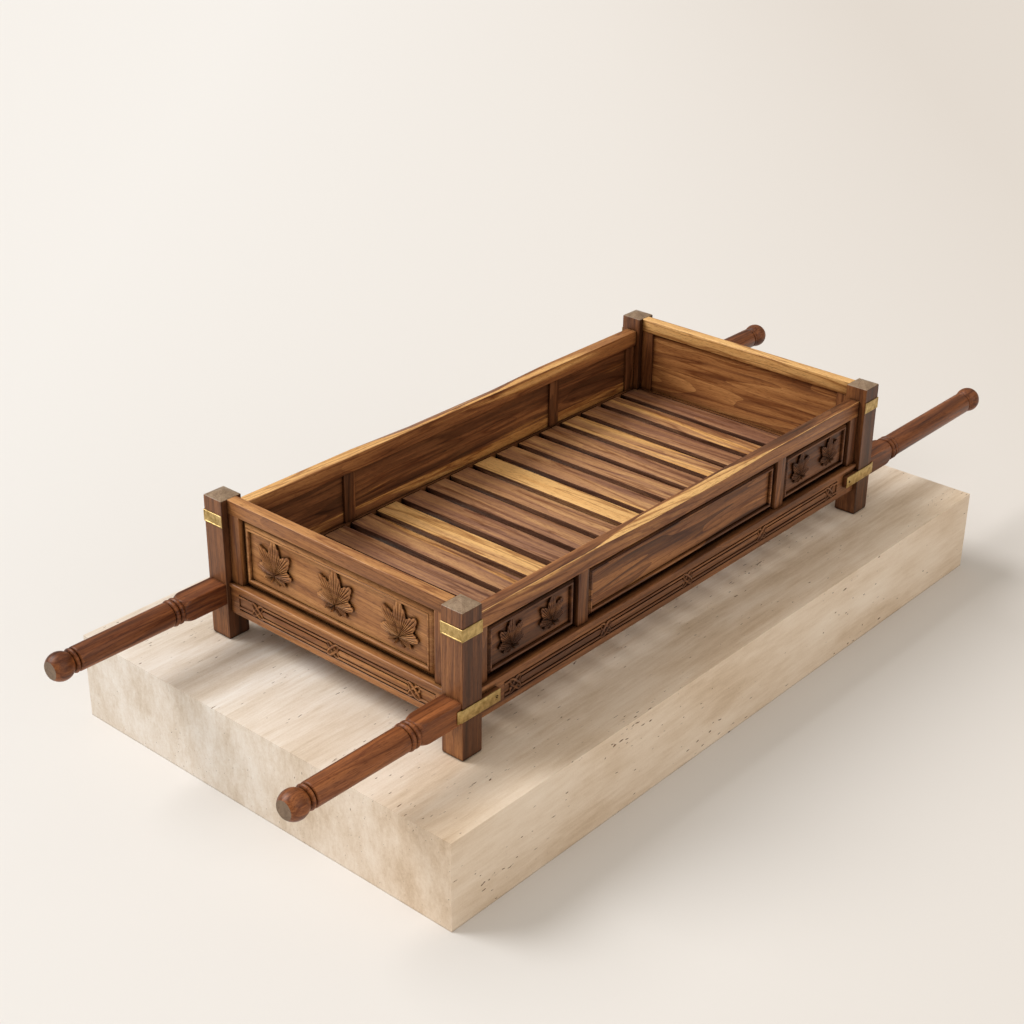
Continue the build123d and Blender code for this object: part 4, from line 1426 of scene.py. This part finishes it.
@dataclass
class Deck:
    """Slats across the tray on two ledgers, each cut from its own board."""

    tray: Tray
    soft_mm: float = 1.6
    clearance_mm: float = 3.0
    # each slat's tone and share of sapwood, from the foot to the head
    boards: tuple[Point, ...] = (
        (0.08, 0.15), (0.09, 0.20), (0.06, 0.15), (0.06, 0.25), (0.10, 0.35), (0.34, 1.0), (0.12, 0.40),
        (0.10, 0.20), (0.14, 0.25), (0.30, 0.90), (0.22, 0.65), (0.19, 0.20), (0.14, 0.25), (0.22, 0.60),
        (0.10, 0.20), (0.18, 0.60), (0.06, 0.10))
    # the slats are a cooler brown than the walls, and their edges get a darker tone as painted shade in the
    # gaps
    colours: tuple[str, ...] = ("#43291E", "#6B4737", "#8F644C", "#B08058", "#D2A26C")
    painted_edge_shade: float = 0.24

    def build(self) -> None:
        """Builds the slats and dresses them and the ledgers."""
        for number, (tone, sapwood) in enumerate(self.boards, 1):
            name = f"slat_{number:02d}"
            low, high = (1000 * Vector(edge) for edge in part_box(name))
            mesh = bmesh.new()
            prism(mesh, self.outline(low, high), low.z, high.z, Matrix.Identity(4), round_mm=self.soft_mm)
            # the deck's long reach spreads the painted shade over the slats' edges in the gaps and near the
            # walls
            finish = OiledWalnut(f"oiled_walnut_{name}", Grain.ALONG_Y, 3 * number, tone, sapwood, figure=1.1,
                                 hollow_mm=46.0, colours=self.colours)
            edge = replace(finish, name=f"{finish.name}_edge", tone=tone - self.painted_edge_shade, sapwood=0.0)
            # painted shade: faces that look along X, seen in the gaps, get the darker copy of the finish
            for face in mesh.faces:
                face.material_index = int(abs(face.normal.x) > FACING)
            show(f"{name}_planed", mesh, (finish.material(), edge.material()), [name])
        strip = OiledWalnut("oiled_walnut_ledgers", Grain.ALONG_X, 91, -0.1).material()
        for side in ("right", "left"):
            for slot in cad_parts[f"slat_ledger_{side}"].material_slots:
                slot.material = strip

    def outline(self, low: Vector, high: Vector) -> list[Point]:
        """Outline of a slat, notched where it meets the posts.

        Args:
            low: the slat's lowest corner in mm.
            high: its highest corner in mm.

        Returns:
            Points going round.
        """
        middle = 1000 * self.tray.middle
        reach = self.tray.length_mm / 2 - self.tray.post_mm - self.clearance_mm
        inner = self.tray.width_mm / 2 - self.tray.post_mm - self.clearance_mm
        left, right = middle.y - inner, middle.y + inner
        if low.x < middle.x - reach:
            step = middle.x - reach
            return [(low.x, left), (step, left), (step, low.y), (high.x, low.y), (high.x, high.y),
                    (step, high.y), (step, right), (low.x, right)]
        if high.x > middle.x + reach:
            step = middle.x + reach
            return [(low.x, low.y), (step, low.y), (step, left), (high.x, left), (high.x, right),
                    (step, right), (step, high.y), (low.x, high.y)]
        return rectangle((low.x, high.x), (low.y, high.y))


@dataclass
class Plinth:
    """Solid slab with rounded arrises."""

    soft_mm: float = 4.5

    def build(self) -> None:
        """Builds and dresses the slab."""
        low, high = (1000 * Vector(edge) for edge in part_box("plinth"))
        mesh = bmesh.new()
        prism(mesh, rectangle((low.x, high.x), (low.y, high.y)), low.z, high.z, Matrix.Identity(4))
        above = [face for face in mesh.faces if face.calc_center_median().z > mm(low.z + 1)]
        ease(mesh, above, mm(self.soft_mm), 3)
        show("plinth_honed", mesh, (HonedTravertine().material(),), ["plinth"])


def main() -> None:
    """Builds the pieces in order."""
    logging.basicConfig(level=logging.INFO, format="%(message)s")
    Studio().build()
    Plinth().build()
    tray = Tray()
    ends: dict[str, object] = {
        "span_mm": tray.width_mm - 2 * tray.post_mm, "top_mm": 450.0, "rail_mm": 36.0, "muntins": (),
        "knots": (-311.0, 0.0, 311.0), "top_rail_mm": 44.0, "moulding_mm": 27.0, "leaf_mm": 140.0,
        "leaves": ((-245.0, 0.0, 245.0),), "panel_names": ("panel",)}
    sides: dict[str, object] = {
        "span_mm": tray.length_mm - 2 * tray.post_mm, "top_mm": 406.0, "rail_mm": 40.0,
        "muntins": (-484.0, 484.0), "knots": (-776.0, -388.0, 0.0, 388.0, 776.0), "top_rail_mm": 53.0,
        "moulding_mm": 20.0, "leaf_mm": 100.0, "leaves": ((-83.0, 83.0), (), (-83.0, 83.0)),
        "panel_names": ("panel_a", "panel_b", "panel_c"), "scooped": True}
    # each board's tone, share of sapwood and strength of figure
    foot = {"top_rail": (0.08, 0.10), "top_rail_top": (0.38, 0.20), "panel": (0.24, 0.25, 0.5),
            "bottom_rail": (0.16, 0.10, 0.6), "stiles": (0.06, 0.0)}
    head = {"top_rail": (0.34, 0.8), "top_rail_top": (0.42, 1.0), "panel": (0.19, 0.05, 2.4),
            "bottom_rail": (0.06, 0.10), "stiles": (0.0, 0.0)}
    # painted shade: the right wall's boards are toned darker than the ends' boards, for the side that faces
    # away from the key light
    right = {"top_rail": (0.08, 0.35), "top_rail_top": (-0.08, 0.0), "top_rail_scoop": (0.44, 0.85),
             "kerb": (-0.05, 0.8), "panel_a": (-0.16, 0.0, 0.6), "panel_b": (-0.04, 0.10, 2.2),
             "panel_c": (-0.16, 0.0, 0.6), "bottom_rail": (-0.06, 0.10, 0.6), "stiles": (-0.10, 0.05)}
    left = {"top_rail": (0.08, 0.30), "top_rail_top": (0.20, 0.70), "top_rail_scoop": (0.10, 0.50),
            "kerb": (-0.06, 0.8), "panel_a": (-0.14, 0.25), "panel_b": (-0.12, 0.25),
            "panel_c": (-0.14, 0.30), "bottom_rail": (-0.05, 0.10), "stiles": (-0.14, 0.0)}
    for wall in (Wall(tray, "foot", Vector((0, -1, 0)), boards=foot, **ends),
                 Wall(tray, "head", Vector((0, 1, 0)), boards=head, **ends),
                 Wall(tray, "right", Vector((1, 0, 0)), boards=right, **sides),
                 Wall(tray, "left", Vector((-1, 0, 0)), boards=left, **sides)):
        wall.build()
    for assembly in (Posts(), Handles(), BrassCorners(tray), Deck(tray)):
        assembly.build()


if __name__ == "__main__":
    main()
